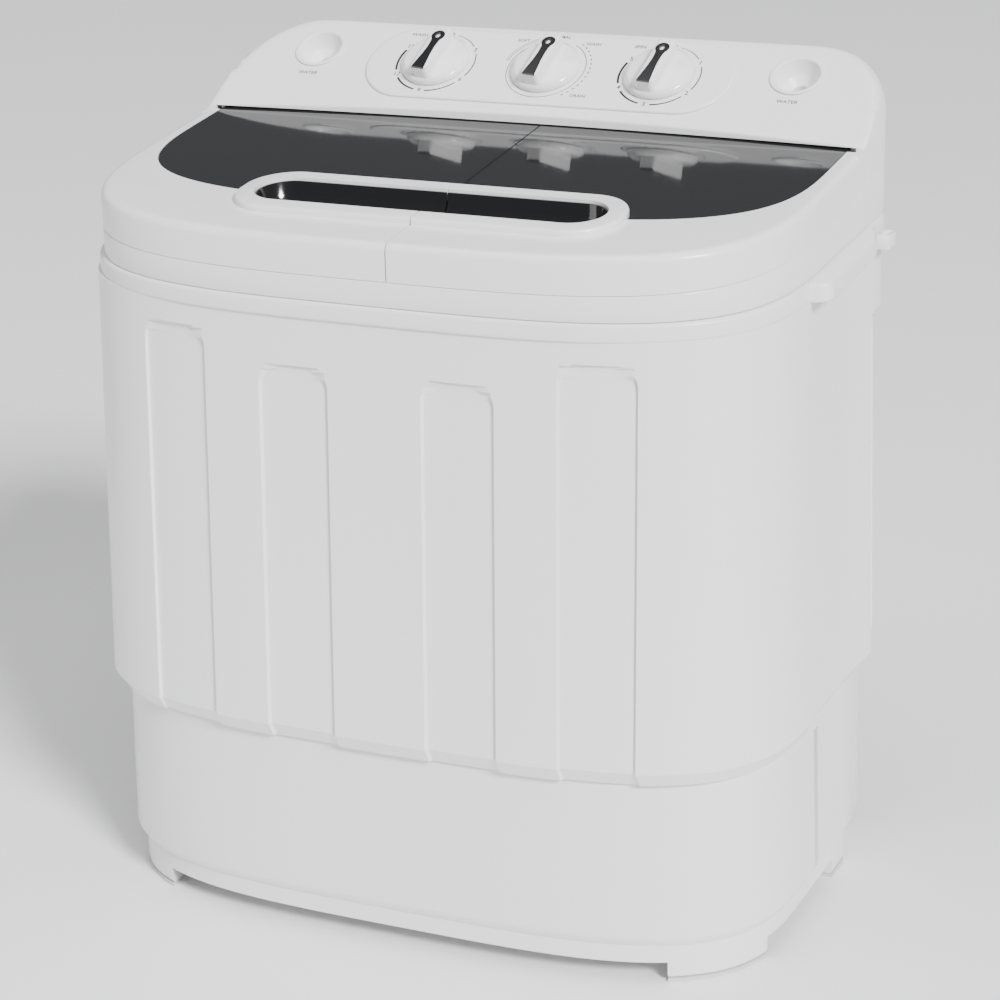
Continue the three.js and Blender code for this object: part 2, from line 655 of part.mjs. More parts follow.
function placedOnFace(body, x, up = 0) {
  const tilt = CONSOLE_TILT * 180 / Math.PI;
  return body.rotate([tilt, 0, 0]).translate([
    x,
    FACE_CENTRE_Y + up * Math.cos(CONSOLE_TILT),
    FACE_CENTRE_Z + up * Math.sin(CONSOLE_TILT),
  ]);
}

const SHOULDER_WIDTH = 88;
const SHOULDER_FOOT = 590;       // height where the console's outline starts to turn in
const SHOULDER_SQUARENESS = 2.4;

// front view of the console: a low arch between round shoulders
function consoleFrontView(inset) {
  const half = HALF_WIDTH - inset;
  const top = HEIGHT - inset;
  const steps = 8;
  const power = 2 / SHOULDER_SQUARENESS;
  const shoulder = [];
  for (let i = 0; i <= steps; i += 1) {
    const angle = (Math.PI / 2) * i / steps;
    shoulder.push([
      half - SHOULDER_WIDTH + SHOULDER_WIDTH * Math.cos(angle) ** power,
      SHOULDER_FOOT + (top - 1 - SHOULDER_FOOT) * Math.sin(angle) ** power,
    ]);
  }
  const mirrored = [...shoulder].reverse().map(([x, z]) => [-x, z]);
  return [[-half, 500], [half, 500], ...shoulder, [0, top], ...mirrored];
}

function consoleBody(inset) {
  const tilt = Math.tan(CONSOLE_TILT);
  const face = (y) => CONSOLE_EDGE - inset / Math.cos(CONSOLE_TILT) + tilt * (y - CONSOLE_FRONT);
  const bottom = inset > 0 ? 500 : CONSOLE_BOTTOM + GAP;
  const around = [[-BEYOND, -BEYOND], [BEYOND, -BEYOND], [BEYOND, BEYOND], [-BEYOND, BEYOND]];
  return loft([[lidPlan(inset), bottom], [lidPlan(inset), 700]])
    .intersect(slab(consoleFrontView(inset), -220, 220))
    .subtract(loft([[around, face], [around, 900]]))
    .intersect(slice(-BEYOND, BEYOND, inset > 0 ? 60 : CONSOLE_FRONT, BEYOND));
}

const BOW_HALF = 276;
const BOW_DEPTH = 10;

// the face's front edge bows to the rear in the middle
function frontBow() {
  const steps = 8;
  const points = [[-BEYOND, 40], [BEYOND, 40]];
  for (let i = 0; i <= steps; i += 1) {
    const x = BOW_HALF * (1 - 2 * i / steps);
    points.push([x, CONSOLE_FRONT + BOW_DEPTH * (1 - (x / BOW_HALF) ** 2)]);
  }
  return prism(points, 400, 700);
}

const DIAL_PLATE = [158, 41];      // half length and half width
const PLATE_THICKNESS = 1.6;

function buildConsole() {
  const knobHoles = [-1, 0, 1].map((i) => placedOnFace(cylinder(0, 0, -12, 8, 5, 16), i * KNOB_PITCH));
  const inletHole = cylinder(0, 0, -12, 8, 19.4, 24);
  const inletHoles = [-1, 1].map((i) => placedOnFace(inletHole, i * INLET_X, INLET_UP));
  const mouth = block([-CHEEK_INNER - 2, 40, 500], [CHEEK_INNER + 2, LID_REAR + 7, 588.5]);
  const hollow = consoleBody(CONSOLE_SKIN);
  const housing = cut(consoleBody(0), hollow, mouth, frontBow(), ...knobHoles, ...inletHoles);
  part(washer, 'console_housing', housing, plastic(WHITE));

  const face = faceGroup(0);
  const plateOutline = roundedRectangle(0, 0, ...DIAL_PLATE, DIAL_PLATE[1] - 0.5, 8);
  const plateHoles = [-1, 0, 1].map((i) => circle(i * KNOB_PITCH, 0, 5, 16));
  part(face, 'dial_plate', prism(plateOutline, GAP, GAP + PLATE_THICKNESS, plateHoles), plastic(WHITE));

  for (const [name, side] of [['left', -1], ['right', 1]]) {
    const bowl = turned([
      [6, -30], [8, -30], [8, -18], [14, -13], [19, -2], [19, GAP], [21.5, GAP], [21.5, GAP + 1.2],
      [18, GAP + 1.2], [13, -10.5], [6, -15.5],
    ], 0, 0, 16);
    part(faceGroup(side * INLET_X, INLET_UP), `water_inlet_${name}`, bowl, plastic(WHITE, 0.25));
  }
}

// ---------------------------------------------------------------- knobs and their timers
const KNOBS = [['wash_timer', -1], ['selector', 0], ['spin_timer', 1]];
const KNOB_BASE = GAP + PLATE_THICKNESS + 0.6;
const KNOB_HEIGHT = 16.5;
const KNOB_RADIUS = 28.5;
const INLAY_DEPTH = 1.6;
const KNOB_REST = -6.5 * Math.PI / 180;   // the knobs rest turned a little clockwise

function gripBar(bottom, top) {
  return prism(roundedRectangle(0, 0, 7.2, 25.5, 4, 3), bottom, top);
}

// spoon-shaped inlay on top of the bar, wide at its pointing end
function inlayOutline(grow = 0) {
  return [
    ...arc(0, -21, 3 + grow, -Math.PI, 0, 4),
    ...arc(0, 15, 5 + grow, -Math.PI / 6, Math.PI * 7 / 6, 8),
  ];
}

function buildKnobs() {
  for (const [name, place] of KNOBS) {
    const face = faceGroup(place * KNOB_PITCH);
    const knob = new THREE.Group();
    knob.rotation.z = KNOB_REST;
    face.add(knob);
    const top = KNOB_BASE + KNOB_HEIGHT;
    const dial = turned([
      [0, KNOB_BASE], [KNOB_RADIUS, KNOB_BASE], [KNOB_RADIUS, KNOB_BASE + 3], [27, KNOB_BASE + 5],
      [23.5, KNOB_BASE + 7.5], [0, KNOB_BASE + 8.5],
    ], 0, 0, 20);
    const socket = cylinder(0, 0, KNOB_BASE - 1, KNOB_BASE + 12, 3 + GAP, 12);
    const inlayPocket = prism(inlayOutline(GAP), top - INLAY_DEPTH, top + 5);
    const grip = gripBar(KNOB_BASE + 6, top);
    part(knob, `${name}_knob`, cut(union(dial, grip), socket, inlayPocket), plastic(WHITE));
    const eye = cylinder(0, 13, KNOB_BASE + 10, KNOB_BASE + 30, 2, 12);
    const inlay = prism(inlayOutline(), top - INLAY_DEPTH + GAP, top + 0.6);
    part(knob, `${name}_knob_inlay`, cut(inlay, eye), plastic(BLACK, 0.12));
    part(knob, `${name}_shaft`, cylinder(0, 0, -8, KNOB_BASE + 11.6, 3, 12), metal(STEEL));
    const unit = union(
      block([-20, -17, -36], [20, 17, -9]),
      cylinder(0, 0, -9.5, -8 - GAP, 5, 12),
    );
    part(face, name === 'selector' ? 'drain_selector_unit' : `${name}_unit`, unit, plastic(0xd8d2c0, 0.5));
  }
}

// ---------------------------------------------------------------- wash drive
function buildWashDrive() {
  const [x, y] = WASH_CENTRE;
  part(washer, 'wash_bearing_housing', turned([
    [7, 158], [16, 158], [16, 178], [28, 178], [28, TUB_FLOOR - GAP], [13.4, TUB_FLOOR - GAP],
    [13.4, TUB_FLOOR + 6], [7, TUB_FLOOR + 6],
  ], x, y, 16), plastic(GREY, 0.5));
  part(washer, 'pulsator_shaft', cylinder(x, y, 139, 218, 6.5, 16), metal(STEEL));

  const fins = [0, 1, 2, 3].map((i) => {
    const fin = prism(roundedRectangle(44, 0, 32, 7, 6, 2), 214, 232);
    return fin.rotate([0, 0, 90 * i]).translate([x, y, 0]);
  });
  const plate = turned([
    [0, 205], [84, 205], [86, 208], [84, 212], [30, 222], [14, 232], [0, 234],
  ], x, y, 20);
  const socket = cylinder(x, y, 200, 219, 6.5 + GAP, 16);
  const screwHole = cylinder(x, y, 215, 240, 2.6, 12);
  const screwSeat = cylinder(x, y, 229.5, 240, 5.6, 16);
  const drains = [0.5, 1.5, 2.5, 3.5].map((turn) => {
    const angle = turn * Math.PI / 2;
    return cylinder(x + 66 * Math.cos(angle), y + 66 * Math.sin(angle), 200, 220, 3, 6);
  });
  const disc = cut(union(plate, ...fins), socket, screwHole, screwSeat, ...drains);
  part(washer, 'pulsator', disc, plastic(PALE_BLUE, 0.35));
  part(washer, 'pulsator_screw', turned([
    [0, 218 + GAP], [2.2, 218 + GAP], [2.2, 229.5 + GAP], [5.2, 229.5 + GAP], [4.2, 233], [0, 233],
  ], x, y, 10), metal(STEEL));

  const low = BELT_HEIGHT - 7;
  const high = BELT_HEIGHT + 7;
  const pulley = (radius, [cx, cy], bore, spokes) => {
    const rim = turned([
      [bore + GAP, low], [radius + 3, low], [radius + 3, low + 2], [radius, low + 3.5],
      [radius, high - 3.5], [radius + 3, high - 2], [radius + 3, high], [bore + GAP, high],
    ], cx, cy, 20);
    const windows = Array.from({ length: spokes }, (_, i) => {
      const angle = i * 2 * Math.PI / spokes;
      return cylinder(cx + 38 * Math.cos(angle), cy + 38 * Math.sin(angle), low - 1, high + 1, 14, 10);
    });
    return cut(rim, ...windows);
  };
  const largePulley = pulley(PULSATOR_PULLEY_RADIUS, WASH_CENTRE, 6.5, 5);
  part(washer, 'pulsator_pulley', largePulley, plastic(0x3c3f44, 0.5));
  const smallPulley = pulley(MOTOR_PULLEY_RADIUS, MOTOR_CENTRE, 4, 0);
  const motorShaft = cylinder(...MOTOR_CENTRE, 116, BELT_HEIGHT + 9, 5, 16);
  part(washer, 'wash_motor_pulley', union(smallPulley, motorShaft), metal(GREY));

  // the belt runs round both pulleys in one flat loop
  const [mx, my] = MOTOR_CENTRE;
  const distance = Math.hypot(mx - x, my - y);
  const heading = Math.atan2(my - y, mx - x);
  const spread = Math.acos((PULSATOR_PULLEY_RADIUS - MOTOR_PULLEY_RADIUS) / distance);
  const loop = (grow) => [
    ...arc(x, y, PULSATOR_PULLEY_RADIUS + grow, heading + spread, heading + 2 * Math.PI - spread, 20),
    ...arc(mx, my, MOTOR_PULLEY_RADIUS + grow, heading - spread, heading + spread, 8),
  ];
  part(washer, 'drive_belt', cut(
    prism(loop(GAP + 3), BELT_HEIGHT - 3, BELT_HEIGHT + 3),
    prism(loop(GAP), BELT_HEIGHT - 4, BELT_HEIGHT + 4),
  ), plastic(RUBBER, 0.9));
  const arms = union(
    block([mx - 72, my + 10, 108], [mx, my + 22, 112]),
    block([mx + 18, my - 46, 108], [mx + 30, my - 10, 112]),
    cylinder(mx - 66, my + 16, 108, TUB_FLOOR - GAP, 6, 14),
    cylinder(mx + 24, my - 40, 108, TUB_FLOOR - GAP, 6, 14),
  );
  part(washer, 'wash_motor', union(motorCan(mx, my, 46, 62, 132), arms), metal(GREY, 0.45));
}

// a motor can with end bells and a well in its top for the shaft
function motorCan(x, y, radius, bottom, top) {
  const can = turned([
    [0, bottom], [radius - 14, bottom], [radius - 4, bottom + 8], [radius - 4, bottom + 16],
    [radius, bottom + 18], [radius, top - 18], [radius - 4, top - 16], [radius - 4, top - 8],
    [radius - 14, top], [0, top],
  ], x, y, 20);
  return can.subtract(cylinder(x, y, top - 20, top + 5, 5.6, 16));
}

// ---------------------------------------------------------------- spin drive
const SPRING_REACH = 50;         // spin shaft to each spring
const SPRING_BOTTOM = BASE_BOTTOM + 2;
const SPRING_TOP = 56;           // underside of the plate on the springs
const SPRING_TURNS = 3.5;
const SPRING_WIRE = 1.3;

class Coil extends THREE.Curve {
  getPoint(t, target = new THREE.Vector3()) {
    const angle = SPRING_TURNS * 2 * Math.PI * t;
    const height = SPRING_BOTTOM + t * (SPRING_TOP - 2 - SPRING_BOTTOM);
    return target.set(9 * Math.cos(angle), 9 * Math.sin(angle), height);
  }
}

function springSolid(x, y) {
  const wire = new THREE.Shape();
  wire.absarc(0, 0, SPRING_WIRE, 0, 2 * Math.PI);
  const geometry = new THREE.ExtrudeGeometry(wire, {
    steps: 21, bevelEnabled: false, extrudePath: new Coil(), curveSegments: 2,
  });
  geometry.translate(x, y, 0);
  return solid(geometry);
}

function buildSpinDrive() {
  const [x, y] = SPIN_CENTRE;
  part(washer, 'spin_motor', motorCan(x, y, 52, 62, 136), metal(GREY, 0.45));
  part(washer, 'spin_shaft', cylinder(x, y, 136 - 18, 232, 5, 16), metal(STEEL));
  part(washer, 'brake_drum', turned([
    [5 + GAP, 142], [30, 142], [30, 156], [26, 156], [26, 146], [10, 146], [10, 156], [5 + GAP, 156],
  ], x, y, 16), metal(GREY, 0.5));
  part(washer, 'spin_bellows', turned([
    [7, 160], [20, 160], [24, 165], [18, 170], [24, 175], [18, 180], [34, 184], [34, TUB_FLOOR - GAP],
    [16, TUB_FLOOR - GAP], [14, 182], [14, 168], [7, 163],
  ], x, y, 14), plastic(RUBBER, 0.85));

  const wall = (grow) => circle(x, y, BASKET_RADIUS + grow);
  const slots = [];
  for (let ring = 0; ring < 2; ring += 1) {
    const bottom = 280 + 80 * ring;
    for (let i = 0; i < 6; i += 1) {
      const hole = block([80, -4, bottom], [98, 4, bottom + 40]);
      slots.push(hole.rotate([0, 0, 60 * i + 30 * ring]).translate([x, y, 0]));
    }
  }
  const basket = cut(
    union(
      loft([[wall(-10), 212], [wall(0), 226], [wall(0), 486]]),
      loft([[wall(5), 480], [wall(5), 488]]),
    ),
    loft([[wall(-12), 215], [wall(-2.2), 228], [wall(-2.2), 484], [wall(-16), 490]]),
    cylinder(x, y, 200, 240, 5 + GAP, 16),
    ...slots,
  );
  part(washer, 'spin_basket', basket, plastic(0xdfe4e8, 0.35));
  const legs = [30, 150, 270].map((degrees) => degrees * Math.PI / 180);
  const plate = cut(
    union(
      cylinder(x, y, SPRING_TOP, SPRING_TOP + 4, 46, 24),
      ...legs.map((a) => cylinder(
        x + SPRING_REACH * Math.cos(a), y + SPRING_REACH * Math.sin(a), SPRING_TOP, SPRING_TOP + 4, 14, 14,
      )),
    ),
    cylinder(x, y, SPRING_TOP - 1, SPRING_TOP + 5, 20, 16),
  );
  part(washer, 'spin_motor_plate', plate, metal(STEEL, 0.5));
  legs.forEach((a, i) => {
    const spring = springSolid(x + SPRING_REACH * Math.cos(a), y + SPRING_REACH * Math.sin(a));
    part(washer, `spin_spring_${i + 1}`, spring, metal(STEEL));
  });
}

// ---------------------------------------------------------------- rear cover, drain, electrics, hose hook
const COVER_HALF = 264;
const COVER_TOP = 163;
const COVER_BOTTOM = 8;
const COVER_REAR = 159;
const COVER_CORNER = 14;
const GLAND_PLACE = [190, 112];

function buildServices() {
  const middle = (COVER_TOP + COVER_BOTTOM) / 2;
  const coverOutline = (inset) => roundedRectangle(
    0, middle, COVER_HALF - inset, COVER_TOP - middle - inset, COVER_CORNER - inset,
  );
  const louvres = [];
  for (let i = 0; i < 8; i += 1) {
    louvres.push(block([-90 + i * 24, 140, 92], [-82 + i * 24, 180, 146]));
  }
  part(washer, 'rear_cover', cut(
    slab(coverOutline(0), BASE_TAIL + GAP, COVER_REAR),
    slab(coverOutline(3), 140, COVER_REAR - 2.5),
    nozzle(...GLAND_PLACE, 9 + GAP, 140, 180),
    nozzle(...DRAIN_PLACE, 13, 140, 180),
    ...louvres,
  ), plastic(WHITE));
  part(washer, 'cord_gland', cut(
    union(nozzle(...GLAND_PLACE, 9, 147, 160), nozzle(...GLAND_PLACE, 12, COVER_REAR + GAP, 162)),
    nozzle(...GLAND_PLACE, 3.8, 150, 180),
  ), plastic(RUBBER, 0.7));
  part(washer, 'drain_outlet', cut(
    union(
      nozzle(...DRAIN_PLACE, 12, 124, 182),
      nozzle(...DRAIN_PLACE, 15, 126, 138),
      nozzle(...DRAIN_PLACE, 13.5, 174, 178),
    ),
    nozzle(...DRAIN_PLACE, 9.5, 120, 190),
  ), plastic(GREY, 0.6));
  part(washer, 'capacitor', turned([
    [0, 40], [16, 40], [17, 43], [17, 86], [12, 90], [0, 90],
  ], 30, 80, 20), plastic(0xd9dadb, 0.5));
  part(washer, 'hose_hook', cut(
    block([285.5 + GAP, 110, 508], [GRIP_REACH - 2, 130, 519]),
    block([288, 112.5, 510], [GRIP_REACH - 4.5, 127.5, 540]),
  ), plastic(WHITE));
}

buildBase();
buildBody();
buildTop();
buildLintFilter();
buildLids();
buildConsole();
buildKnobs();
buildWashDrive();
buildSpinDrive();
buildServices();

export default washer;
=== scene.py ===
# %% [markdown]
# # A portable twin tub washer
# The machine is a white moulded casing on a footed base. Two tubs hang from a deck, two smoked lids
# close over them, and a sloping console with three knobs stands behind. Its frame is already fixed:
# every piece has its place and size there. This lesson builds the smooth surfaces that are seen, each
# one a formula on a grid of points, and gives every surface a finish made of shader nodes.

# %% Load the frame
import math

import bmesh
import bpy
import numpy as np
from mathutils import Matrix, Vector


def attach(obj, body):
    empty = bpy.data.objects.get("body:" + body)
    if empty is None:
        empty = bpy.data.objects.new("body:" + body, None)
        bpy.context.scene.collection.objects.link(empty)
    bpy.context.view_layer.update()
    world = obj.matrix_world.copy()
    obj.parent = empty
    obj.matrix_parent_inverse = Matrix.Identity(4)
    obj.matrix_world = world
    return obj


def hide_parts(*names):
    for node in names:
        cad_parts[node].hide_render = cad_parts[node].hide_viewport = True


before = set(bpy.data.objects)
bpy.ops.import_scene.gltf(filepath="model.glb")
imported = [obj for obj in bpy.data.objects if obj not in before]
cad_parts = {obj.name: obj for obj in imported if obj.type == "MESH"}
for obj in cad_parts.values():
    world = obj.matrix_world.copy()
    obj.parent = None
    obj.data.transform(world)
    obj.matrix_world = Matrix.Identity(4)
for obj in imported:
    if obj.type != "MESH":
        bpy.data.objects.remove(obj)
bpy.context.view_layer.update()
MM = 0.001

# %% [markdown]
# ## The camera
# The camera stands to the right of the machine and a little above it, far away with a long lens, so
# that upright edges stay nearly upright. It leans by less than two degrees. The shift only slides the
# picture on the sensor, which keeps the perspective and puts the machine where it belongs.

# %% Camera
AZIMUTH, ELEVATION, ROLL = (math.radians(a) for a in (25.1343, 18.208, -1.6553))
DISTANCE = 2.2499
AIM = Vector((0.0004, -0.0255, 0.3626))

back = Vector((
    math.sin(AZIMUTH) * math.cos(ELEVATION),
    -math.cos(AZIMUTH) * math.cos(ELEVATION),
    math.sin(ELEVATION),
))
side = Vector((0, 0, 1)).cross(back).normalized()
top = back.cross(side)
right = side * math.cos(ROLL) + top * math.sin(ROLL)
above = top * math.cos(ROLL) - side * math.sin(ROLL)

camera = bpy.data.objects.new("camera", bpy.data.cameras.new("camera"))
bpy.context.scene.collection.objects.link(camera)
turned_to = Matrix((right, above, back)).transposed().to_4x4()
camera.matrix_world = Matrix.Translation(AIM + back * DISTANCE) @ turned_to
camera.data.sensor_width = 36
camera.data.lens = 104.45
camera.data.shift_x = 0.0348
camera.data.shift_y = -0.0567
camera.data.clip_end = 50
bpy.context.scene.camera = camera
print("camera", [round(v, 3) for v in camera.location])

# %% [markdown]
# ## Finishes
# Moulded plastic is never one flat value. Its colour drifts a little over a hand's width, its gloss
# changes where it was handled, and light shows the faint orange peel of the mould. One node group makes
# all three from noise on Object coordinates, and every material uses it with its own values. The group
# puts out only what changes over the surface; all that is constant is set on the shader's own sockets.

# %% The shared surface group
def surface_group():
    """Noise at two scales. Colour = base times (1 + drift x slow noise). Roughness = base + drift of
    its own. Height = fine noise, stretched by Stretch for brushed or drawn metal."""
    group = bpy.data.node_groups.new("moulded surface", "ShaderNodeTree")
    for name, kind, value in (
        ("Color", "NodeSocketColor", (0.8, 0.8, 0.8, 1)),
        ("Drift", "NodeSocketFloat", 0.04),
        ("Roughness", "NodeSocketFloat", 0.3),
        ("Handling", "NodeSocketFloat", 0.06),
        ("Patch", "NodeSocketFloat", 7.0),
        ("Grain", "NodeSocketFloat", 600.0),
        ("Stretch", "NodeSocketVector", (1, 1, 1)),
    ):
        socket = group.interface.new_socket(name, in_out="INPUT", socket_type=kind)
        socket.default_value = value
    for name, kind in (("Color", "NodeSocketColor"), ("Roughness", "NodeSocketFloat"),
                       ("Height", "NodeSocketFloat")):
        group.interface.new_socket(name, in_out="OUTPUT", socket_type=kind)
    nodes, link = group.nodes, group.links.new
    inside = nodes.new("NodeGroupInput")
    out = nodes.new("NodeGroupOutput")
    place = nodes.new("ShaderNodeTexCoord")
    stretched = nodes.new("ShaderNodeVectorMath")
    stretched.operation = "MULTIPLY"
    link(place.outputs["Object"], stretched.inputs[0])
    link(inside.outputs["Stretch"], stretched.inputs[1])

    def noise(scale, detail, vector):
        node = nodes.new("ShaderNodeTexNoise")
        node.inputs["Detail"].default_value = detail
        link(inside.outputs[scale], node.inputs["Scale"])
        link(vector, node.inputs["Vector"])
        return node.outputs["Fac"]

    def maths(operation, a, b):
        node = nodes.new("ShaderNodeMath")
        node.operation = operation
        for index, value in enumerate((a, b)):
            if isinstance(value, (int, float)):
                node.inputs[index].default_value = value
            else:
                link(value, node.inputs[index])
        return node.outputs[0]

    slow = maths("SUBTRACT", noise("Patch", 3, place.outputs["Object"]), 0.5)
    fine = noise("Grain", 2, stretched.outputs[0])
    gain = maths("ADD", maths("MULTIPLY", slow, inside.outputs["Drift"]), 1.0)
    tinted = nodes.new("ShaderNodeVectorMath")
    tinted.operation = "SCALE"
    link(inside.outputs["Color"], tinted.inputs[0])
    link(gain, tinted.inputs["Scale"])
    rough = maths("ADD", inside.outputs["Roughness"], maths("MULTIPLY", slow, inside.outputs["Handling"]))
    rough = maths("ADD", rough, maths("MULTIPLY", maths("SUBTRACT", fine, 0.5), inside.outputs["Handling"]))
    link(tinted.outputs[0], out.inputs["Color"])
    link(rough, out.inputs["Roughness"])
    link(fine, out.inputs["Height"])
    return group


SURFACE = surface_group()


def finish(name, color, roughness, relief=0.1, metallic=0.0, coat=0.0, **sockets):
    """A material whose colour, roughness and bump come from the shared group."""
    material = bpy.data.materials.new(name)
    material.use_nodes = True
    nodes, link = material.node_tree.nodes, material.node_tree.links.new
    shader = nodes["Principled BSDF"]
    group = nodes.new("ShaderNodeGroup")
    group.node_tree = SURFACE
    group.inputs["Color"].default_value = (*color, 1)
    group.inputs["Roughness"].default_value = roughness
    for socket, value in sockets.items():
        group.inputs[socket.capitalize()].default_value = value
    bump = nodes.new("ShaderNodeBump")
    bump.inputs["Strength"].default_value = relief
    bump.inputs["Distance"].default_value = 0.0003
    link(group.outputs["Color"], shader.inputs["Base Color"])
    link(group.outputs["Roughness"], shader.inputs["Roughness"])
    link(group.outputs["Height"], bump.inputs["Height"])
    link(bump.outputs["Normal"], shader.inputs["Normal"])
    shader.inputs["Metallic"].default_value = metallic
    shader.inputs["Coat Weight"].default_value = coat
    shader.inputs["Coat Roughness"].default_value = 0.08
    return material


WHITE = finish("white_moulding", (0.84, 0.84, 0.845), 0.30, relief=0.10, coat=0.12, drift=0.03)
SATIN = finish("white_satin_moulding", (0.76, 0.76, 0.77), 0.46, relief=0.25, drift=0.04, grain=900.0)
KNOB_WHITE = finish("knob_white", (0.86, 0.86, 0.86), 0.16, relief=0.04, coat=0.5, drift=0.02)
TUB_WHITE = finish("tub_plastic", (0.70, 0.74, 0.77), 0.30, relief=0.15, drift=0.05)
BLACK = finish("black_gloss", (0.008, 0.008, 0.009), 0.12, relief=0.03, coat=0.6, handling=0.05)
INK = finish("dial_ink", (0.015, 0.015, 0.016), 0.5, relief=0.1)
BLUE = finish("pulsator_blue", (0.20, 0.42, 0.68), 0.28, relief=0.12)
STEEL = finish("drawn_steel", (0.58, 0.59, 0.61), 0.26, relief=0.3, metallic=1.0,
               stretch=(1, 1, 0.06), grain=1500.0)
CAN = finish("motor_lacquer", (0.20, 0.21, 0.22), 0.38, relief=0.3, metallic=0.6, drift=0.15)
CREAM = finish("timer_case", (0.62, 0.57, 0.44), 0.5, relief=0.3)
DARK = finish("dark_filled_plastic", (0.045, 0.048, 0.052), 0.5, relief=0.4, drift=0.15)
GREY = finish("grey_plastic", (0.24, 0.25, 0.26), 0.45, relief=0.3)
RUBBER = finish("black_rubber", (0.02, 0.02, 0.021), 0.75, relief=0.5, drift=0.3, handling=0.12)
PAD = finish("foot_pad_rubber", (0.62, 0.62, 0.62), 0.8, relief=0.5, drift=0.2)
SMOKE = finish("smoked_window", (0.035, 0.035, 0.038), 0.05, relief=0.02, handling=0.03, patch=4.0)
SMOKE.node_tree.nodes["Principled BSDF"].inputs["Transmission Weight"].default_value = 0.55
SMOKE.node_tree.nodes["Principled BSDF"].inputs["IOR"].default_value = 1.48
print("finishes", len(bpy.data.materials))

# %% [markdown]
# ## Tools for making pieces
# Three kinds of surface make nearly the whole machine. A *loft* stacks closed outlines and caps the
# ends. A *ring* sweeps a closed section round an outline, so it makes a wall of true thickness in one
# go. A *turned* piece carries a profile round an axis. All are grids, worked out as whole arrays.

# %% Mesh tools
def grid_quads(rows, columns, wrap_rows):
    """Quads between neighbouring rows; the last column joins the first, and so do the rows if asked."""
    row = np.arange(rows if wrap_rows else rows - 1)[:, None]
    column = np.arange(columns)[None, :]
    after, beside = (row + 1) % rows, (column + 1) % columns
    corners = (
        row * columns + column, row * columns + beside,
        after * columns + beside, after * columns + column,
    )
    return np.stack(np.broadcast_arrays(*corners), -1).reshape(-1, 4).tolist()


def new_object(name, points, faces):
    mesh = bpy.data.meshes.new(name)
    mesh.from_pydata(np.asarray(points).reshape(-1, 3).tolist(), [], faces)
    mesh.validate()
    obj = bpy.data.objects.new(name, mesh)
    bpy.context.scene.collection.objects.link(obj)
    return obj


def tidy_mesh(obj, merge=1e-6):
    """Merges doubled points and turns all faces outwards."""
    work = bmesh.new()
    work.from_mesh(obj.data)
    bmesh.ops.remove_doubles(work, verts=work.verts, dist=merge)
    bmesh.ops.dissolve_degenerate(work, edges=work.edges, dist=merge)
    bmesh.ops.recalc_face_normals(work, faces=work.faces)
    work.to_mesh(obj.data)
    work.free()
    return obj


def loft(name, levels, capped=True):
    """Levels are (points, 3) arrays of one length, lowest first. The first is capped, and so is the
    last, unless it closes on itself."""
    stack = np.array(levels)
    rows, columns, _ = stack.shape
    faces = grid_quads(rows, columns, False)
    faces.append(list(range(columns))[::-1])
    if capped:
        faces.append(list(range((rows - 1) * columns, rows * columns)))
    return new_object(name, stack, faces)


def ring(name, section):
    """Section is a closed loop of (points, 3) outlines: up the outside, then down the inside."""
    stack = np.array(section)
    rows, columns, _ = stack.shape
    return tidy_mesh(new_object(name, stack, grid_quads(rows, columns, True)))


def at(outline, height):
    """Lifts an (n, 2) outline to a height, which is a number or a function of y."""
    z = height(outline[:, 1]) if callable(height) else np.full(len(outline), height)
    return np.column_stack([outline, z])


def fillet(points, radius, steps=4, closed=True):
    """Every corner becomes a quadratic curve that leaves and meets its two sides a radius away."""
    points = np.asarray(points, float)
    made = []
    last = len(points) - 1
    t = np.linspace(0, 1, steps + 1)[:, None]
    for index, corner in enumerate(points):
        if not closed and index in (0, last):
            made.append(corner[None])
            continue
        before, after = points[index - 1] - corner, points[(index + 1) % len(points)] - corner
        lengths = [max(np.linalg.norm(v), 1e-12) for v in (before, after)]
        reach = [min(radius, length * 0.45) / length for length in lengths]
        start, end = corner + before * reach[0], corner + after * reach[1]
        made.append(start * (1 - t) ** 2 + corner * 2 * t * (1 - t) + end * t ** 2)
    return np.vstack(made)


def turned(name, profile, centre=(0, 0), radius=0.0, steps=96, axis="Z"):
    """Carries an (r, z) profile round an axis. A profile that starts and ends on the axis has poles."""
    open_ends = profile[0][0] == 0 and profile[-1][0] == 0
    profile = np.array(profile, float) * MM
    if radius:
        profile = fillet(profile, radius * MM, closed=not open_ends)
    angle = np.linspace(0, 2 * np.pi, steps, endpoint=False)
    r, z = profile[:, :1], profile[:, 1:]
    points = np.stack(np.broadcast_arrays(r * np.cos(angle), r * np.sin(angle), z), -1)
    obj = tidy_mesh(new_object(name, points, grid_quads(len(profile), steps, not open_ends)))
    if axis == "Y":
        obj.data.transform(Matrix.Rotation(-math.pi / 2, 4, "X"))
    shift = (centre[0] * MM, centre[1] * MM, 0) if axis == "Z" else (centre[0] * MM, 0, centre[1] * MM)
    obj.data.transform(Matrix.Translation(shift))
    return obj


def rod_profile(radius, low, high):
    """Half the section of a plain rod, for turned()."""
    return [(0, low), (radius, low), (radius, high), (0, high)]


def block(name, low, high):
    """A box between two corners given in millimetres."""
    (x0, y0, z0), (x1, y1, z1) = np.array(low) * MM, np.array(high) * MM
    outline = np.array([(x0, y0), (x1, y0), (x1, y1), (x0, y1)])
    return loft(name, [at(outline, z0), at(outline, z1)])


def apply_modifiers(obj):
    graph = bpy.context.evaluated_depsgraph_get()
    mesh = bpy.data.meshes.new_from_object(obj.evaluated_get(graph))
    obj.modifiers.clear()
    obj.data = mesh
    return obj


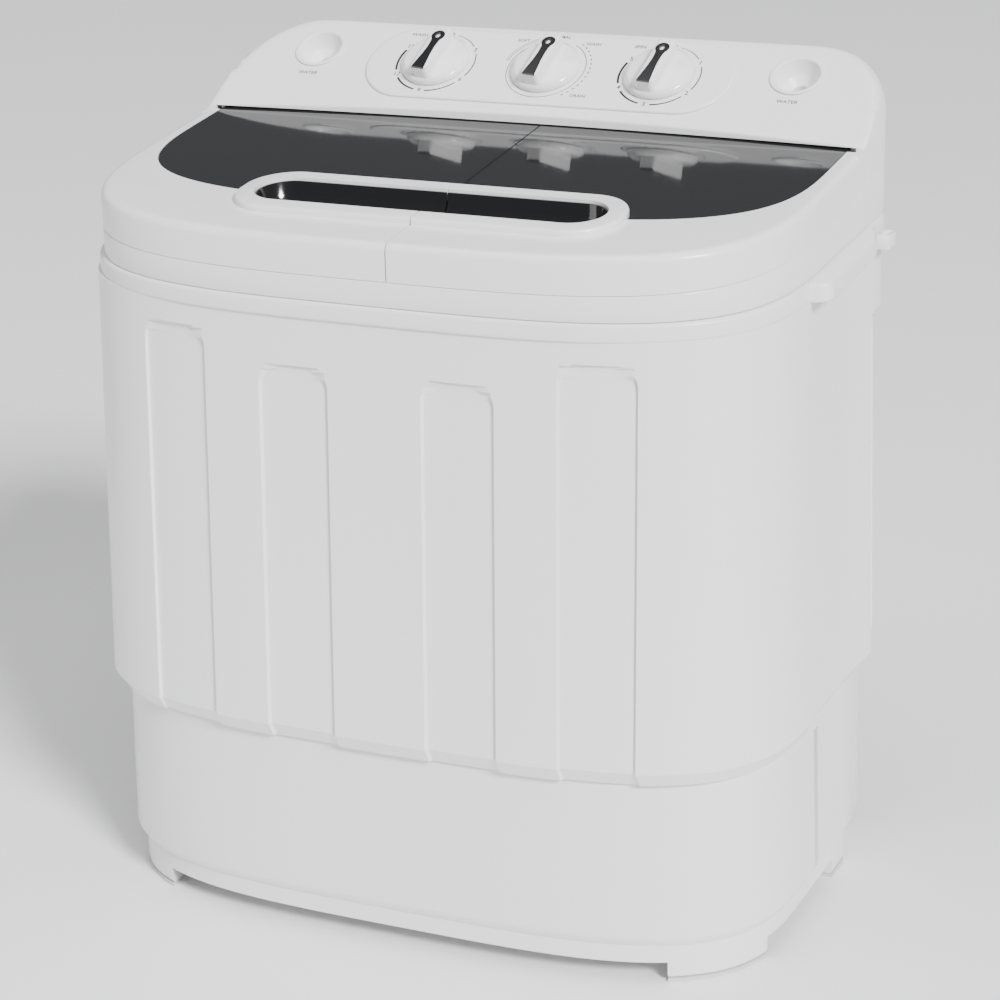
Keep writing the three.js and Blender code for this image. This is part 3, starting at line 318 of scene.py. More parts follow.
def combine(obj, operation, *tools):
    """Joins tools to a solid (UNION), cuts them away (DIFFERENCE) or keeps the overlap (INTERSECT)."""
    for tool in tools:
        modifier = obj.modifiers.new("combine", "BOOLEAN")
        modifier.operation = operation
        modifier.object = tool
        modifier.solver = "EXACT"
        tidy_mesh(apply_modifiers(obj), 3e-6)
        bpy.data.objects.remove(tool)
    return obj


def soften(obj, width, segments=2, angle=35):
    """Rounds the sharp edges by a width in millimetres."""
    modifier = obj.modifiers.new("edge", "BEVEL")
    modifier.width = width * MM
    modifier.segments = segments
    modifier.limit_method = "ANGLE"
    modifier.angle_limit = math.radians(angle)
    modifier.use_clamp_overlap = True
    return apply_modifiers(obj)


def settle(obj, material, body="root", nodes=(), crease=32):
    """Gives a piece its finish, smooth shading between its creases, its body and its CAD nodes."""
    obj.data.materials.clear()
    obj.data.materials.append(material)
    obj.data.polygons.foreach_set("use_smooth", np.ones(len(obj.data.polygons), bool))
    obj.data.set_sharp_from_angle(angle=math.radians(crease))
    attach(obj, body)
    if nodes:
        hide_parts(*nodes)
    return obj


def paint(node_name, material):
    """Gives a CAD node that is shown as it is a finish."""
    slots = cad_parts[node_name].data.materials
    slots.clear()
    slots.append(material)


def merge(name, objects):
    """Several finished solids as one piece."""
    points, faces, start = [], [], 0
    for obj in objects:
        mesh = obj.data
        points.append(np.array([v.co for v in mesh.vertices]).reshape(-1, 3))
        faces.extend([[start + i for i in p.vertices] for p in mesh.polygons])
        start += len(mesh.vertices)
        bpy.data.objects.remove(obj)
    return new_object(name, np.vstack(points), faces)


print("tools ready")

# %% [markdown]
# ## The plan outline
# Seen from above, nearly every casing piece has the same plan: a superellipse in front, straight sides
# and quarter circles at the rear corners. Each outline here has its columns at fixed places, by x along
# the front and by y along the sides, so that outlines of different size still match column to column,
# and fine detail can be given closely set columns where it needs them.

# %% Plan outline
SQUARENESS = 3.5
CORNER_COLUMNS = 26
ACROSS = np.linspace(0, 205, 30) * MM
ALONG = np.linspace(-60, 60, 16) * MM


def plan(half, front, rear, corner, widest=-9.5, inset=0.0, across=ACROSS, along=ALONG):
    """Front: |x/a|^q + |y/b|^q = 1 below the widest line. It is followed by x, then by angle round the
    corner, then by y up the side; after the rear quarter circle a straight run closes it."""
    half, front, rear, corner, widest, inset = (v * MM for v in (half, front, rear, corner, widest, inset))
    a, b = half - inset, widest - front - inset
    radius, behind = max(corner - inset, 2 * MM), rear - inset
    q = SQUARENESS
    front_y = widest - b * (1 - (across / a) ** q) ** (1 / q)
    start = math.acos((across[-1] / a) ** (q / 2))
    end = math.asin(((widest - along[0]) / b) ** (q / 2))
    t = np.linspace(start, end, CORNER_COLUMNS + 2)[1:-1]
    corner_x = a * np.cos(t) ** (2 / q)
    corner_y = widest - b * np.sin(t) ** (2 / q)
    side_y = np.minimum(along, behind - radius)
    side_x = a * (1 - np.clip((widest - side_y) / b, 0, 1) ** q) ** (1 / q)
    turn = np.linspace(0, np.pi / 2, 14)[1:]
    rear_x = a - radius + radius * np.cos(turn)
    rear_y = behind - radius + radius * np.sin(turn)
    straight = np.linspace(a - radius, 0, 12)[1:]
    x = np.concatenate([across, corner_x, side_x, rear_x, straight])
    y = np.concatenate([front_y, corner_y, side_y, rear_y, np.full(len(straight), behind)])
    return np.column_stack([
        np.concatenate([x, -x[-2:0:-1]]),
        np.concatenate([y, y[-2:0:-1]]),
    ])


def lid_plan(inset=0.0, **columns):
    return plan(281, -177.5, 190.5, 50, widest=15, inset=inset, **columns)


def base_plan(inset=0.0):
    return plan(280, -178.5, 116, 28, inset=inset, across=ACROSS * 0.98)


def rounded_box(x, y, half_x, half_y, radius, steps=10):
    """A rectangle with quarter-circle corners, anticlockwise, in millimetres."""
    t = np.linspace(0, np.pi / 2, steps)
    corners = []
    for index, (sx, sy) in enumerate(((1, -1), (1, 1), (-1, 1), (-1, -1))):
        angle = t + (index - 1) * np.pi / 2
        corners.append(np.column_stack([
            x + sx * (half_x - radius) + radius * np.cos(angle),
            y + sy * (half_y - radius) + radius * np.sin(angle),
        ]))
    return np.vstack(corners) * MM


def circle(x, y, radius, steps=96):
    t = np.linspace(0, 2 * np.pi, steps, endpoint=False)
    return np.column_stack([x + radius * np.cos(t), y + radius * np.sin(t)]) * MM


RIM_SLOPE, LID_SLOPE, HINGE_Y = 0.05, 0.1, 88.5
WALL = 2.8


def rim_height(lift):
    return lambda y: lift * MM + RIM_SLOPE * (y + 179 * MM)


def seam_height(lift=0.0):
    return lambda y: (531 + lift) * MM + LID_SLOPE * (y + 179 * MM)


def lid_height(drop=0.0):
    return lambda y: (586 - drop) * MM + LID_SLOPE * (y - HINGE_Y * MM)


print("plan columns", len(lid_plan()))

# %% [markdown]
# ## Body wall
# The body is one tall moulding. It is widest at a crease just above the base, and it leans in towards
# the top. Four upright strips are pressed into its front, a long shallow hollow into each side and a
# deep channel into each rear corner. Every one of these is a mask, 0 outside and 1 inside with a soft
# edge about a millimetre wide, that moves the wall's points inwards. The grid's rows and columns crowd
# together at the edges of the masks, so the moulded steps are crisp without a heavy mesh.

# %% Body wall
STRIPS = ((-198, -142, 482), (-94, -38, 461), (38, 94, 461), (142, 198, 482))
STRIP_DEPTH, STRIP_CORNER = 3.0, 16.0
EDGE = 1.3


def soft_step(distance, width=EDGE):
    """0 before -width/2, 1 after +width/2, smooth between, for distances in millimetres."""
    t = np.clip(distance / width + 0.5, 0, 1)
    return t * t * (3 - 2 * t)


def strip_mask(x, z):
    """Inside distance of a strip with round top corners, made a soft mask; the widest mask wins."""
    masks = []
    for left, right_edge, top_edge in STRIPS:
        across_edge = np.abs(x - (left + right_edge) / 2) - ((right_edge - left) / 2 - STRIP_CORNER)
        up_edge = z - (top_edge - STRIP_CORNER)
        outside = np.hypot(np.maximum(across_edge, 0), np.maximum(up_edge, 0))
        inside = np.minimum(np.maximum(across_edge, up_edge), 0)
        masks.append(soft_step(STRIP_CORNER - outside - inside))
    return np.max(masks, axis=0)


def channel_mask(y, z, grow):
    """The corner channel runs from y 110 to 158 up to z 456, with round top corners; grow widens it."""
    across_edge = np.abs(y - 134) - 12 - grow
    up_edge = z - 444
    outside = np.hypot(np.maximum(across_edge, 0), np.maximum(up_edge, 0))
    inside = np.minimum(np.maximum(across_edge, up_edge), 0)
    return soft_step(12 - outside - inside)


def body_level(z, inset, detail):
    """One outline of the body wall at height z (mm), pressed in by the masks."""
    half = np.interp(z, (166, 178, 514), (281, 288, 283))
    front = np.interp(z, (166, 178, 514), (-183, -190.5, -175.5))
    outline = plan(half, front, 172, 44, inset=inset, across=BODY_ACROSS, along=BODY_ALONG) / MM
    x, y = outline[:, 0], outline[:, 1]
    if detail:
        y = np.where(y < -60, y + STRIP_DEPTH * strip_mask(x, z), y)
        hollow = soft_step(y + 35, 2.5) * np.clip((108 - y) / 48, 0, 1)
        x = x - np.sign(x) * 3.0 * hollow
    floor = np.minimum(np.abs(x), 263 - inset)
    channel = channel_mask(y, z, inset)
    x = np.sign(x) * (np.abs(x) * (1 - channel) + floor * channel)
    return np.column_stack([x, y]) * MM


edge_steps = np.array([-1.6, -0.65, -0.3, 0.0, 0.3, 0.65, 1.6])
BODY_ACROSS = np.unique(np.concatenate([
    np.linspace(0, 205, 24), *[edge + edge_steps for edge in (38, 94, 142, 198)],
])) * MM
BODY_ALONG = np.unique(np.concatenate([
    np.linspace(-60, 127, 22), -35 + edge_steps * 1.6, 110 + edge_steps,
])) * MM
BODY_ROWS = np.unique(np.concatenate([
    (166, 166.5, 177, 177.6, 178, 178.4, 179.5), np.linspace(190, 436, 12),
    np.arange(438, 486, 1.5), (490, 495),
]))
wall_top = rim_height(499)
outer = [at(body_level(z, 0, True), z * MM) for z in BODY_ROWS]
outer.append(at(body_level(499, 0, True), wall_top))
inner = [at(body_level(499, 5.8, False), wall_top)]
inner += [at(body_level(z, 5.8, False), z * MM) for z in (490, 460, 457, 454, 450, 446, 440, 178, 166)]
body_wall = ring("body_wall", outer + inner)
settle(body_wall, WHITE, nodes=["body_shell"], crease=40)
print("body wall faces", len(body_wall.data.polygons))

# %% [markdown]
# ## Rim and carrying grips
# A flange runs round the body's top. On each side it swells outwards into a grip that a hand closes
# under. The rim is a ring: a rectangle with rounded corners swept round the plan. The swelling is added
# to x: it rises as a quarter ellipse at the grip's front and fades as a parabola to its rear.

# %% Rim
GRIP_ALONG = np.unique(np.concatenate([np.linspace(-60, 125, 26), np.linspace(-42, -28, 15)])) * MM


def rim_plan(inset=0.0):
    outline = plan(285.5, -179, 174, 46, widest=15, inset=inset, along=GRIP_ALONG) / MM
    x, y = outline[:, 0], outline[:, 1]
    rise = np.sqrt(np.clip(1 - ((-30 - y) / 10) ** 2, 0, 1))
    fade = np.clip(1 - ((y - 62) / 43) ** 2, 0, 1)
    swell = np.where(y < -30, np.where(y > -40, rise, 0), np.where(y < 62, 1, np.where(y < 105, fade, 0)))
    reach = 13.0 if inset < 8 else 0.0
    return np.column_stack([x + np.sign(x) * reach * swell, y]) * MM


rim_section = fillet([(0, 498), (0, 512), (19, 512), (19, 498)], 3.0, steps=5)
body_rim = ring("body_rim", [at(rim_plan(inset), rim_height(height)) for inset, height in rim_section])
settle(body_rim, WHITE, nodes=["body_shell"], crease=50)
print("rim faces", len(body_rim.data.polygons))

# %% [markdown]
# ## Top frame and hinge rail
# The band between rim and lids carries everything above it. Its top follows the lids' seam, and steps
# up behind them to the console. The hinge brackets stand on a rail across its rear.

# %% Top frame
CONSOLE_BOTTOM = 566
FRAME_ALONG = np.unique(np.concatenate([np.linspace(-60, 138, 24), (94.35, 94.5)])) * MM


def frame_top(drop):
    """The lids' seam in front of the console, the console's underside behind."""
    def height(y):
        return np.where(y < 94.45 * MM, seam_height(-drop)(y), (CONSOLE_BOTTOM - drop) * MM)
    return height


def frame_level(inset, height):
    return at(lid_plan(inset, along=FRAME_ALONG), height)


FRAME_LOW = 512.35
BAND = [
    (1.0, 0.0, "low"), (0.3, 0.3, "low"), (0.0, 1.0, "low"), (0.0, 1.0, "top"), (0.3, 0.3, "top"),
    (1.0, 0.0, "top"), (12.0, 0.0, "top"), (12.0, 0.0, "low"),
]
levels = [
    frame_level(inset, rim_height(FRAME_LOW + away) if end == "low" else frame_top(away))
    for inset, away, end in BAND
]
top_frame = ring("top_frame_band", levels)
combine(top_frame, "DIFFERENCE", block("lid_swing", (-272.8, 94, 562.4), (272.8, 112, 600)))
HINGE_Z = 581.0
ONTO_HINGE = Matrix.Translation((0, HINGE_Y * MM, HINGE_Z * MM)) @ Matrix.Rotation(math.pi / 2, 4, "Y")
rail = [soften(block("rail", (-276, 96.8, 544), (276, 103.8, 562)), 1.0)]
for left in (-270, 10, 264):
    arm = block("arm", (left, HINGE_Y - 3, 556), (left + 6, HINGE_Y + 2, HINGE_Z))
    combine(arm, "UNION", block("foot", (left, HINGE_Y - 3, 555.8), (left + 6, 98.8, 561.5)))
    eye = turned("eye", [(2.15, left), (3.6, left), (3.6, left + 6), (2.15, left + 6)], steps=40)
    eye.data.transform(ONTO_HINGE)
    rail += [arm, eye]
hinge_rail = merge("hinge_rail", rail)
settle(top_frame, WHITE, nodes=["top_frame"], crease=50)
settle(hinge_rail, WHITE, nodes=["top_frame"])
print("top frame faces", len(top_frame.data.polygons))

# %% [markdown]
# ## Base, pan and feet
# The base is a lofted shell that tucks inside the body above and leans in to the floor below. The pan
# closes it from underneath and carries four hollow corner feet on rubber pads.

# %% Base
def base_outline(inset, height):
    return at(base_plan(inset), height * MM)


def tail_outline(inset, height):
    return at(rounded_box(0, 89.6, 252 - inset, 60 - inset, 8 - min(inset, 6)), height * MM)


base = loft("base_shell_body", [base_outline(i, z) for i, z in (
    (5.6, 31), (5, 31.6), (2.4, 35.5), (0.6, 38.4), (0, 41), (2, 164.6), (2.6, 165.2), (9, 165.4),
    (9, 178))])
combine(base, "UNION", loft("tail", [tail_outline(i, z) for i, z in ((0.8, 31), (0, 32), (0, 178))]))
hollow = loft("hollow", [base_outline(i, z) for i, z in ((9, 28), (4.5, 158), (12, 163), (12, 182))])
combine(hollow, "UNION", loft("hollow_tail", [tail_outline(WALL, z) for z in (28, 182)]))
doorway = block("doorway", (-236, 140, 62), (236, 160, 156))
slots = [block("slot", (min(s * 264, s * 290), -4, 20), (max(s * 264, s * 290), 5, 156)) for s in (-1, 1)]
drain_hole = turned("drain_hole", rod_profile(12.4, 120, 190), (-196, 47), axis="Y")
combine(base, "DIFFERENCE", hollow, doorway, drain_hole, *slots)
settle(base, WHITE, nodes=["base_shell"], crease=35)

pan = loft("base_pan_tray", [base_outline(i, z) for i, z in ((7, 16), (6, 17), (6, 30.65))])
combine(pan, "UNION", loft("tail", [tail_outline(6, z) for z in (16, 30.65)]))
under = loft("under", [base_outline(10, z) for z in (14, 27)])
combine(under, "UNION", loft("tail", [tail_outline(10, z) for z in (14, 27)]))
combine(pan, "DIFFERENCE", under)
feet = loft("feet", [base_outline(i, z) for i, z in ((8.5, 3.35), (6.6, 5), (6, 8), (6, 29))])
combine(feet, "DIFFERENCE", loft("core", [base_outline(40, z) for z in (0, 32)]))
corners = merge("corners", [
    block("corner", (min(s * 213, s * 290), y0, 0), (max(s * 213, s * 290), y1, 32))
    for s in (-1, 1) for y0, y1 in ((-200, -84), (60, 130))
])
combine(feet, "INTERSECT", corners)
combine(pan, "UNION", feet)
combine(pan, "DIFFERENCE", *[
    block("vent", (-220 + 24 * i, 10, 14), (-208 + 24 * i, 110, 33)) for i in range(5)
])
settle(pan, WHITE, nodes=["base_pan"], crease=35)
for name in ("front_left", "front_right", "rear_left", "rear_right"):
    paint(f"foot_pad_{name}", PAD)
print("base faces", len(base.data.polygons), "pan faces", len(pan.data.polygons))

# %% [markdown]
# ## Tubs and deck
# Each tub is one ring: its section climbs the outside, turns over the flange and comes down the inside
# to the floor. The wash tub is a rounded rectangle in plan and the spin tub is a circle.

# %% Tubs
def wash_outline(grow):
    return rounded_box(-126, -28, 114 + grow, 110 + grow, 86 + grow, steps=24)


def spin_outline(grow):
    return circle(146, -28, 104 + grow, 120)


def tub(name, outline, holes):
    """A cup: (grow, height) section from the outer foot, over the flange, down to the inner floor."""
    lip, under = rim_height(517.7), rim_height(515.5)
    outside = [outline(g) for g in (-16, -10, -8, -0.5, 0)]
    lower = [at(o, z * MM) for o, z in zip(outside, (190, 191.5, 197, 230, 500))]
    section = lower + [
        at(outline(0), rim_height(515.5)), at(outline(8.4), under), at(outline(9), rim_height(516.2)),
        at(outline(8.6), rim_height(517.4)), at(outline(7.8), lip), at(outline(-2.0), lip),
        at(outline(-2.8), rim_height(516.6)), at(outline(-2.8), 500 * MM), at(outline(-3.3), 232 * MM),
        at(outline(-10.8), 200 * MM), at(outline(-14), 195 * MM), at(outline(-22), 192.8 * MM),
    ]
    cup = tidy_mesh(loft(name, section))
    return combine(cup, "DIFFERENCE", *[
        turned("hole", rod_profile(r, 180, 205), (x, y)) for x, y, r in holes
    ])


wash_tub = tub("wash_tub_moulding", wash_outline, ((-126, -28, 14), (-40, -86, 10)))
spin_tub = tub("spin_tub_moulding", spin_outline, ((146, -28, 24), (86, 12, 10)))
settle(wash_tub, TUB_WHITE, nodes=["wash_tub"])
settle(spin_tub, TUB_WHITE, nodes=["spin_tub"])

deck = loft("tub_deck_plate", [at(lid_plan(13), rim_height(h)) for h in (512.35, 515.15)])
combine(deck, "DIFFERENCE", *[
    loft("opening", [at(outline(1), z * MM) for z in (490, 540)])
    for outline in (wash_outline, spin_outline)
])
settle(deck, SATIN, nodes=["tub_deck"])

lint = block("lint_filter_frame", (-160, 67.85, 300), (-92, 77.85, 400))
combine(lint, "DIFFERENCE", block("pocket", (-154, 70.85, 306), (-98, 74.85, 394)),
        block("mouth", (-152, 65, 372), (-100, 72.85, 390)),
        *[block("mesh", (-150 + 9 * i, 65, 312 + 12 * j), (-145 + 9 * i, 72, 318 + 12 * j))
          for i in range(6) for j in range(4)])
soften(lint, 0.8)
settle(lint, BLUE, nodes=["lint_filter"])
print("tub faces", len(wash_tub.data.polygons), len(spin_tub.data.polygons))

# %% [markdown]
# ## Lids
# Both lids are cut from one skin, so their surfaces run on across the split. The skin is a loft with a
# rounded edge, hollowed from below. The smoked panes lie flush in a pocket, and across both runs a
# raised oval rim round the black finger recess. A slope of one in ten lifts everything to the rear.

# %% Lid skin
SPLIT_X, SPLIT_GAP = 13.0, 1.2
LID_END, LID_REAR = 94.0, 105.0
LID_EDGE = [(0, 6.0), (0.35, 3.9), (1.3, 2.1), (2.7, 0.9), (4.6, 0.2), (6.5, 0.0)]


def stadium(half, grow=0.0):
    half_x, half_y = half[0] + grow, half[1] + grow
    return rounded_box(8, -94.5, half_x, half_y, min(half_y, 36 + grow), steps=18)


def window_plan(inset):
    return plan(268, -97, 150, 10, widest=60, inset=inset, along=np.linspace(45, 130, 6) * MM)


def prism(name, outline, low=480, high=660):
    return loft(name, [at(outline, low * MM), at(outline, high * MM)])


HANDLE, RECESS = (154, 40.5), (141, 25)
skin = loft("skin", [at(lid_plan(0), seam_height(0.5))] + [
    at(lid_plan(i), lid_height(drop)) for i, drop in LID_EDGE])
combine(skin, "DIFFERENCE", loft("hollow", [
    at(lid_plan(WALL), 480 * MM), at(lid_plan(WALL), lid_height(7)),
    at(lid_plan(WALL + 3), lid_height(4.2))]))
combine(skin, "INTERSECT", block("front", (-320, -320, 400), (320, LID_END, 720)))
tail = loft("tail", [at(lid_plan(1), lid_height(10)), at(lid_plan(1), lid_height(0.0))])
reach = block("reach", (-320, HINGE_Y - 7, 400), (320, LID_END, 720))
combine(reach, "UNION", block("middle", (-272, HINGE_Y - 6, 402), (272, LID_REAR, 718)))
combine(tail, "INTERSECT", reach)
combine(skin, "UNION", tail)
pane_hole = loft("pane", [at(window_plan(-0.4), lid_height(2.95)), at(window_plan(-0.4), 655 * MM)])
combine(pane_hole, "INTERSECT", block("front", (-320, -320, 400), (320, LID_REAR + 0.6, 720)))
light = prism("light", window_plan(7))
combine(light, "INTERSECT", block("front", (-320, -320, 400), (320, HINGE_Y - 7, 720)))
combine(skin, "DIFFERENCE", pane_hole, light)
for s in (-1, 1):
    x0, x1 = sorted((s * 268, s * 320))
    round_off = block("edge", (x0, HINGE_Y, HINGE_Z), (x1, HINGE_Y + 12, HINGE_Z + 12))
    rod = turned("rod", rod_profile(5.9, x0 - 2, x1 + 2), steps=64)
    rod.data.transform(ONTO_HINGE)
    combine(round_off, "DIFFERENCE", rod)
    combine(skin, "DIFFERENCE", round_off)
raised = loft("raised", [at(stadium(HANDLE, g), lid_height(d)) for g, d in (
    (0, 4.4), (0, -2.6), (-0.3, -3.7), (-1.1, -4.6), (-2.4, -5.0))])
combine(skin, "UNION", raised)
combine(skin, "DIFFERENCE", prism("recess", stadium(RECESS)))

pane = loft("pane", [at(window_plan(i), lid_height(d)) for i, d in ((0, 2.6), (0, 0.3), (0.3, 0))])
combine(pane, "INTERSECT", block("front", (-320, -320, 400), (320, LID_REAR + 0.2, 720)))
combine(pane, "DIFFERENCE", prism("round_handle", stadium(HANDLE, 0.4)))
cup = loft("cup", [at(stadium(RECESS, g), lid_height(d)) for g, d in (
    (-13, 20), (-10, 18.8), (-6, 14), (-0.35, 7), (-0.35, -2.9))])
combine(cup, "DIFFERENCE", loft("inside", [at(stadium(RECESS, g), lid_height(d)) for g, d in (
    (-18, 18), (-14, 17.2), (-11, 15), (-2.35, 6.4), (-2.35, -1.6), (-1.6, -2.6), (-1.6, -8))]))
print("skin faces", len(skin.data.polygons))

# %% [markdown]
# The two lids are the two sides of the split. Each turns on two steel pins held by the frame's
# brackets, so both skins have pockets that clear the brackets.

# %% Split the lids
def piece_of(source, name, left, right):
    piece = bpy.data.objects.new(name, source.data.copy())
    bpy.context.scene.collection.objects.link(piece)
    return combine(piece, "INTERSECT", block("side", (left, -320, 400), (right, 120, 720)))


LID_SPANS = {"wash": (-320, SPLIT_X - SPLIT_GAP / 2), "spin": (SPLIT_X + SPLIT_GAP / 2, 320)}
for lid, (left, right) in LID_SPANS.items():
    frame_piece = piece_of(skin, f"{lid}_lid_skin", left, right)
    glass_piece = piece_of(pane, f"{lid}_lid_pane", left, right)
    cup_piece = piece_of(cup, f"{lid}_lid_finger_cup", left, right)
    for x in (-270, 10, 264):
        for piece in (frame_piece, glass_piece):
            combine(piece, "DIFFERENCE", block("pocket", (x - 0.6, 84.1, 480), (x + 6.6, 112, 585)))
    settle(frame_piece, WHITE, f"{lid}_lid", [f"{lid}_lid_frame"], crease=28)
    settle(glass_piece, SMOKE, f"{lid}_lid", [f"{lid}_lid_window"])
    settle(cup_piece, BLACK, f"{lid}_lid", [f"{lid}_lid_handle_cup"], crease=50)
    for end in ("left", "right"):
        paint(f"{lid}_hinge_pin_{end}", STEEL)
for source in (skin, pane, cup):
    bpy.data.objects.remove(source)
print("lids split at", SPLIT_X, "mm")

# %% [markdown]
# ## Console
# The console's top is where a sloping face meets an arch seen from the front. A smooth minimum,
# -k ln(exp(-a/k) + exp(-b/k)), blends the two without a hard line. The grid runs in rings from the
# outline inwards to a spine along the middle, so the outline's edge can be rounded by its first rings.

# %% Console body
TILT = math.radians(31.8)
SHOULDER, SHOULDER_POWER = 88.0, 2.4
FRONT_X = np.linspace(-276, 276, 93)


def console_plan(inset):
    """Front edge bowed to the rear by 10 mm, straight sides, rear corners of radius 50."""
    half, behind, radius = 281 - inset, 190.5 - inset, 50 - inset
    x = FRONT_X * (half - 5) / 276
    front = 94.8 + inset + 10 * (1 - (x / (half - 5)) ** 2)
    t = np.linspace(0, np.pi / 2, 16)[1:-1]
    side_y = np.linspace(94.8 + inset, behind - radius, 10)
    corner = np.column_stack([half - radius + radius * np.cos(t), behind - radius + radius * np.sin(t)])
    rear = x[::-1] * (half - radius) / (half - 5)
    side = np.column_stack([np.full(10, half), side_y])
    flip = np.array([-1, 1])
    return np.vstack([
        np.column_stack([x, front]), side, corner, np.column_stack([rear, np.full(len(x), behind)]),
        (corner * flip)[::-1], (side * flip)[::-1],
    ])


def console_top(x, y, blend=1.6):
    face = 589 + math.tan(TILT) * (y - 94.8)
    out = np.clip((np.abs(x) - (281 - SHOULDER)) / SHOULDER, 0, 1)
    arch = 590 + 58.0 * (1 - out ** SHOULDER_POWER) ** (1 / SHOULDER_POWER)
    arch = arch + np.where(out > 0, 0, 1 - np.abs(x) / (281 - SHOULDER))
    low = np.minimum(face, arch)
    return low - blend * np.log(np.exp((low - face) / blend) + np.exp((low - arch) / blend))


def console_solid(name, inset, drop, bottom):
    outline = console_plan(inset)
    is_front = (np.arange(len(outline)) < len(FRONT_X))[:, None]
    along = outline[:, 0] * np.where(is_front[:, 0], 231 / (276 - inset), 1)
    spine = np.column_stack([np.clip(along, -190, 190), np.full(len(outline), 148.0)])
    inward = spine - outline
    length = np.linalg.norm(inward, axis=1, keepdims=True)
    edge = np.where(is_front, 1.6, 3.6)
    rings = []
    for share in (0, 0.03, 0.12, 0.28, 0.55, 1.0):
        d = edge * share
        sunk = edge - np.sqrt(np.maximum(edge ** 2 - (edge - d) ** 2, 0))
        points = outline + inward * d / length
        z = console_top(points[:, 0], points[:, 1]) - sunk[:, 0] - drop
        rings.append(np.column_stack([points, np.maximum(z, bottom + 1)]) * MM)
    start = outline + inward * edge / length
    for share in np.linspace(0, 1, 22)[1:]:
        points = start + (spine - start) * share
        z = console_top(points[:, 0], points[:, 1]) - drop
        rings.append(np.column_stack([points, z]) * MM)
    foot = np.column_stack([outline, np.full(len(outline), bottom)]) * MM
    return tidy_mesh(loft(name, [foot] + rings, capped=False))


console = console_solid("console_moulding", 0, 0, 566.35)
combine(console, "DIFFERENCE", console_solid("hollow", 3, 3, 560),
        block("mouth", (-274, 40, 500), (274, 112, 588.5)))


def on_face(x, up=0.0, turn=0.0):
    place = Matrix.Translation(Vector((
        x, 148.5 + up * math.cos(TILT), 622.295 + up * math.sin(TILT))) * MM)
    return place @ Matrix.Rotation(TILT, 4, "X") @ Matrix.Rotation(turn, 4, "Z")


def drill(x, up, radius):
    tool = turned("drill", rod_profile(radius, -14, 10), steps=64)
    tool.data.transform(on_face(x, up))
    return tool


DIALS = {"wash_timer": -97, "selector": 0, "spin_timer": 97}
INLETS = {"left": -207, "right": 207}
knob_holes = [drill(x, 0, 5) for x in DIALS.values()]
inlet_holes = [drill(x, 10, 19.4) for x in INLETS.values()]
combine(console, "DIFFERENCE", *knob_holes, *inlet_holes)
settle(console, WHITE, nodes=["console_housing"], crease=40)
print("console faces", len(console.data.polygons))

# %% [markdown]
# ## Dial plate, inlets and knobs
# Everything on the sloping face is made flat and then carried onto it by one matrix, with x to the
# right, y up the slope and z out of the face.

# %% On the face
PLATE_TOP = 1.95
PLATE_LEVELS = ((0, 0.35), (0, 0.7), (0.25, 1.3), (0.9, 1.8), (1.8, 1.95), (3.0, 1.95))
plate = loft("dial_plate_moulding", [
    at(rounded_box(0, 0, 158 - i, 41 - i, 40.5 - i, 24), z * MM) for i, z in PLATE_LEVELS])
combine(plate, "DIFFERENCE", *[
    turned("hole", rod_profile(5, -5, 9), (x, 0), steps=48) for x in DIALS.values()])
plate.data.transform(on_face(0))
settle(plate, WHITE, nodes=["dial_plate"])

for name, x in INLETS.items():
    bowl = turned(f"water_inlet_{name}_bowl", [
        (6, -30), (8, -30), (8, -18), (14, -13), (19, -2), (19, 0.35), (21.5, 0.35), (21.5, 1.55),
        (18.4, 1.55), (17, -2), (13, -10.5), (6, -15.5)], radius=0.8, steps=96)
    bowl.data.transform(on_face(x, 10))
    settle(bowl, WHITE, nodes=[f"water_inlet_{name}"])

KNOB_BASE, KNOB_TOP, KNOB_TURN = 2.55, 19.05, math.radians(-6.5)


def spoon(grow, end):
    """Half width along the bar: wide at the pointing end, a waist, then the ring round the eye."""
    y = np.concatenate([np.linspace(-end, 8, 24), 13.5 + (5.6 + grow) * np.sin(np.linspace(-0.9, 1.5, 22))])
    y = np.unique(y)
    stem = np.interp(y, (-26, -22, -16, -8, 0, 6, 12), (5.4, 5.2, 4.4, 3.4, 2.9, 3.2, 4.2)) + grow
    eye = np.sqrt(np.maximum((5.6 + grow) ** 2 - (y - 13.5) ** 2, 0))
    width = np.where(y > 13.5, eye, np.maximum(np.where(y > 12, 0, stem), eye))
    return np.vstack([np.column_stack([width, y]), np.column_stack([-width, y])[::-1]]) * MM


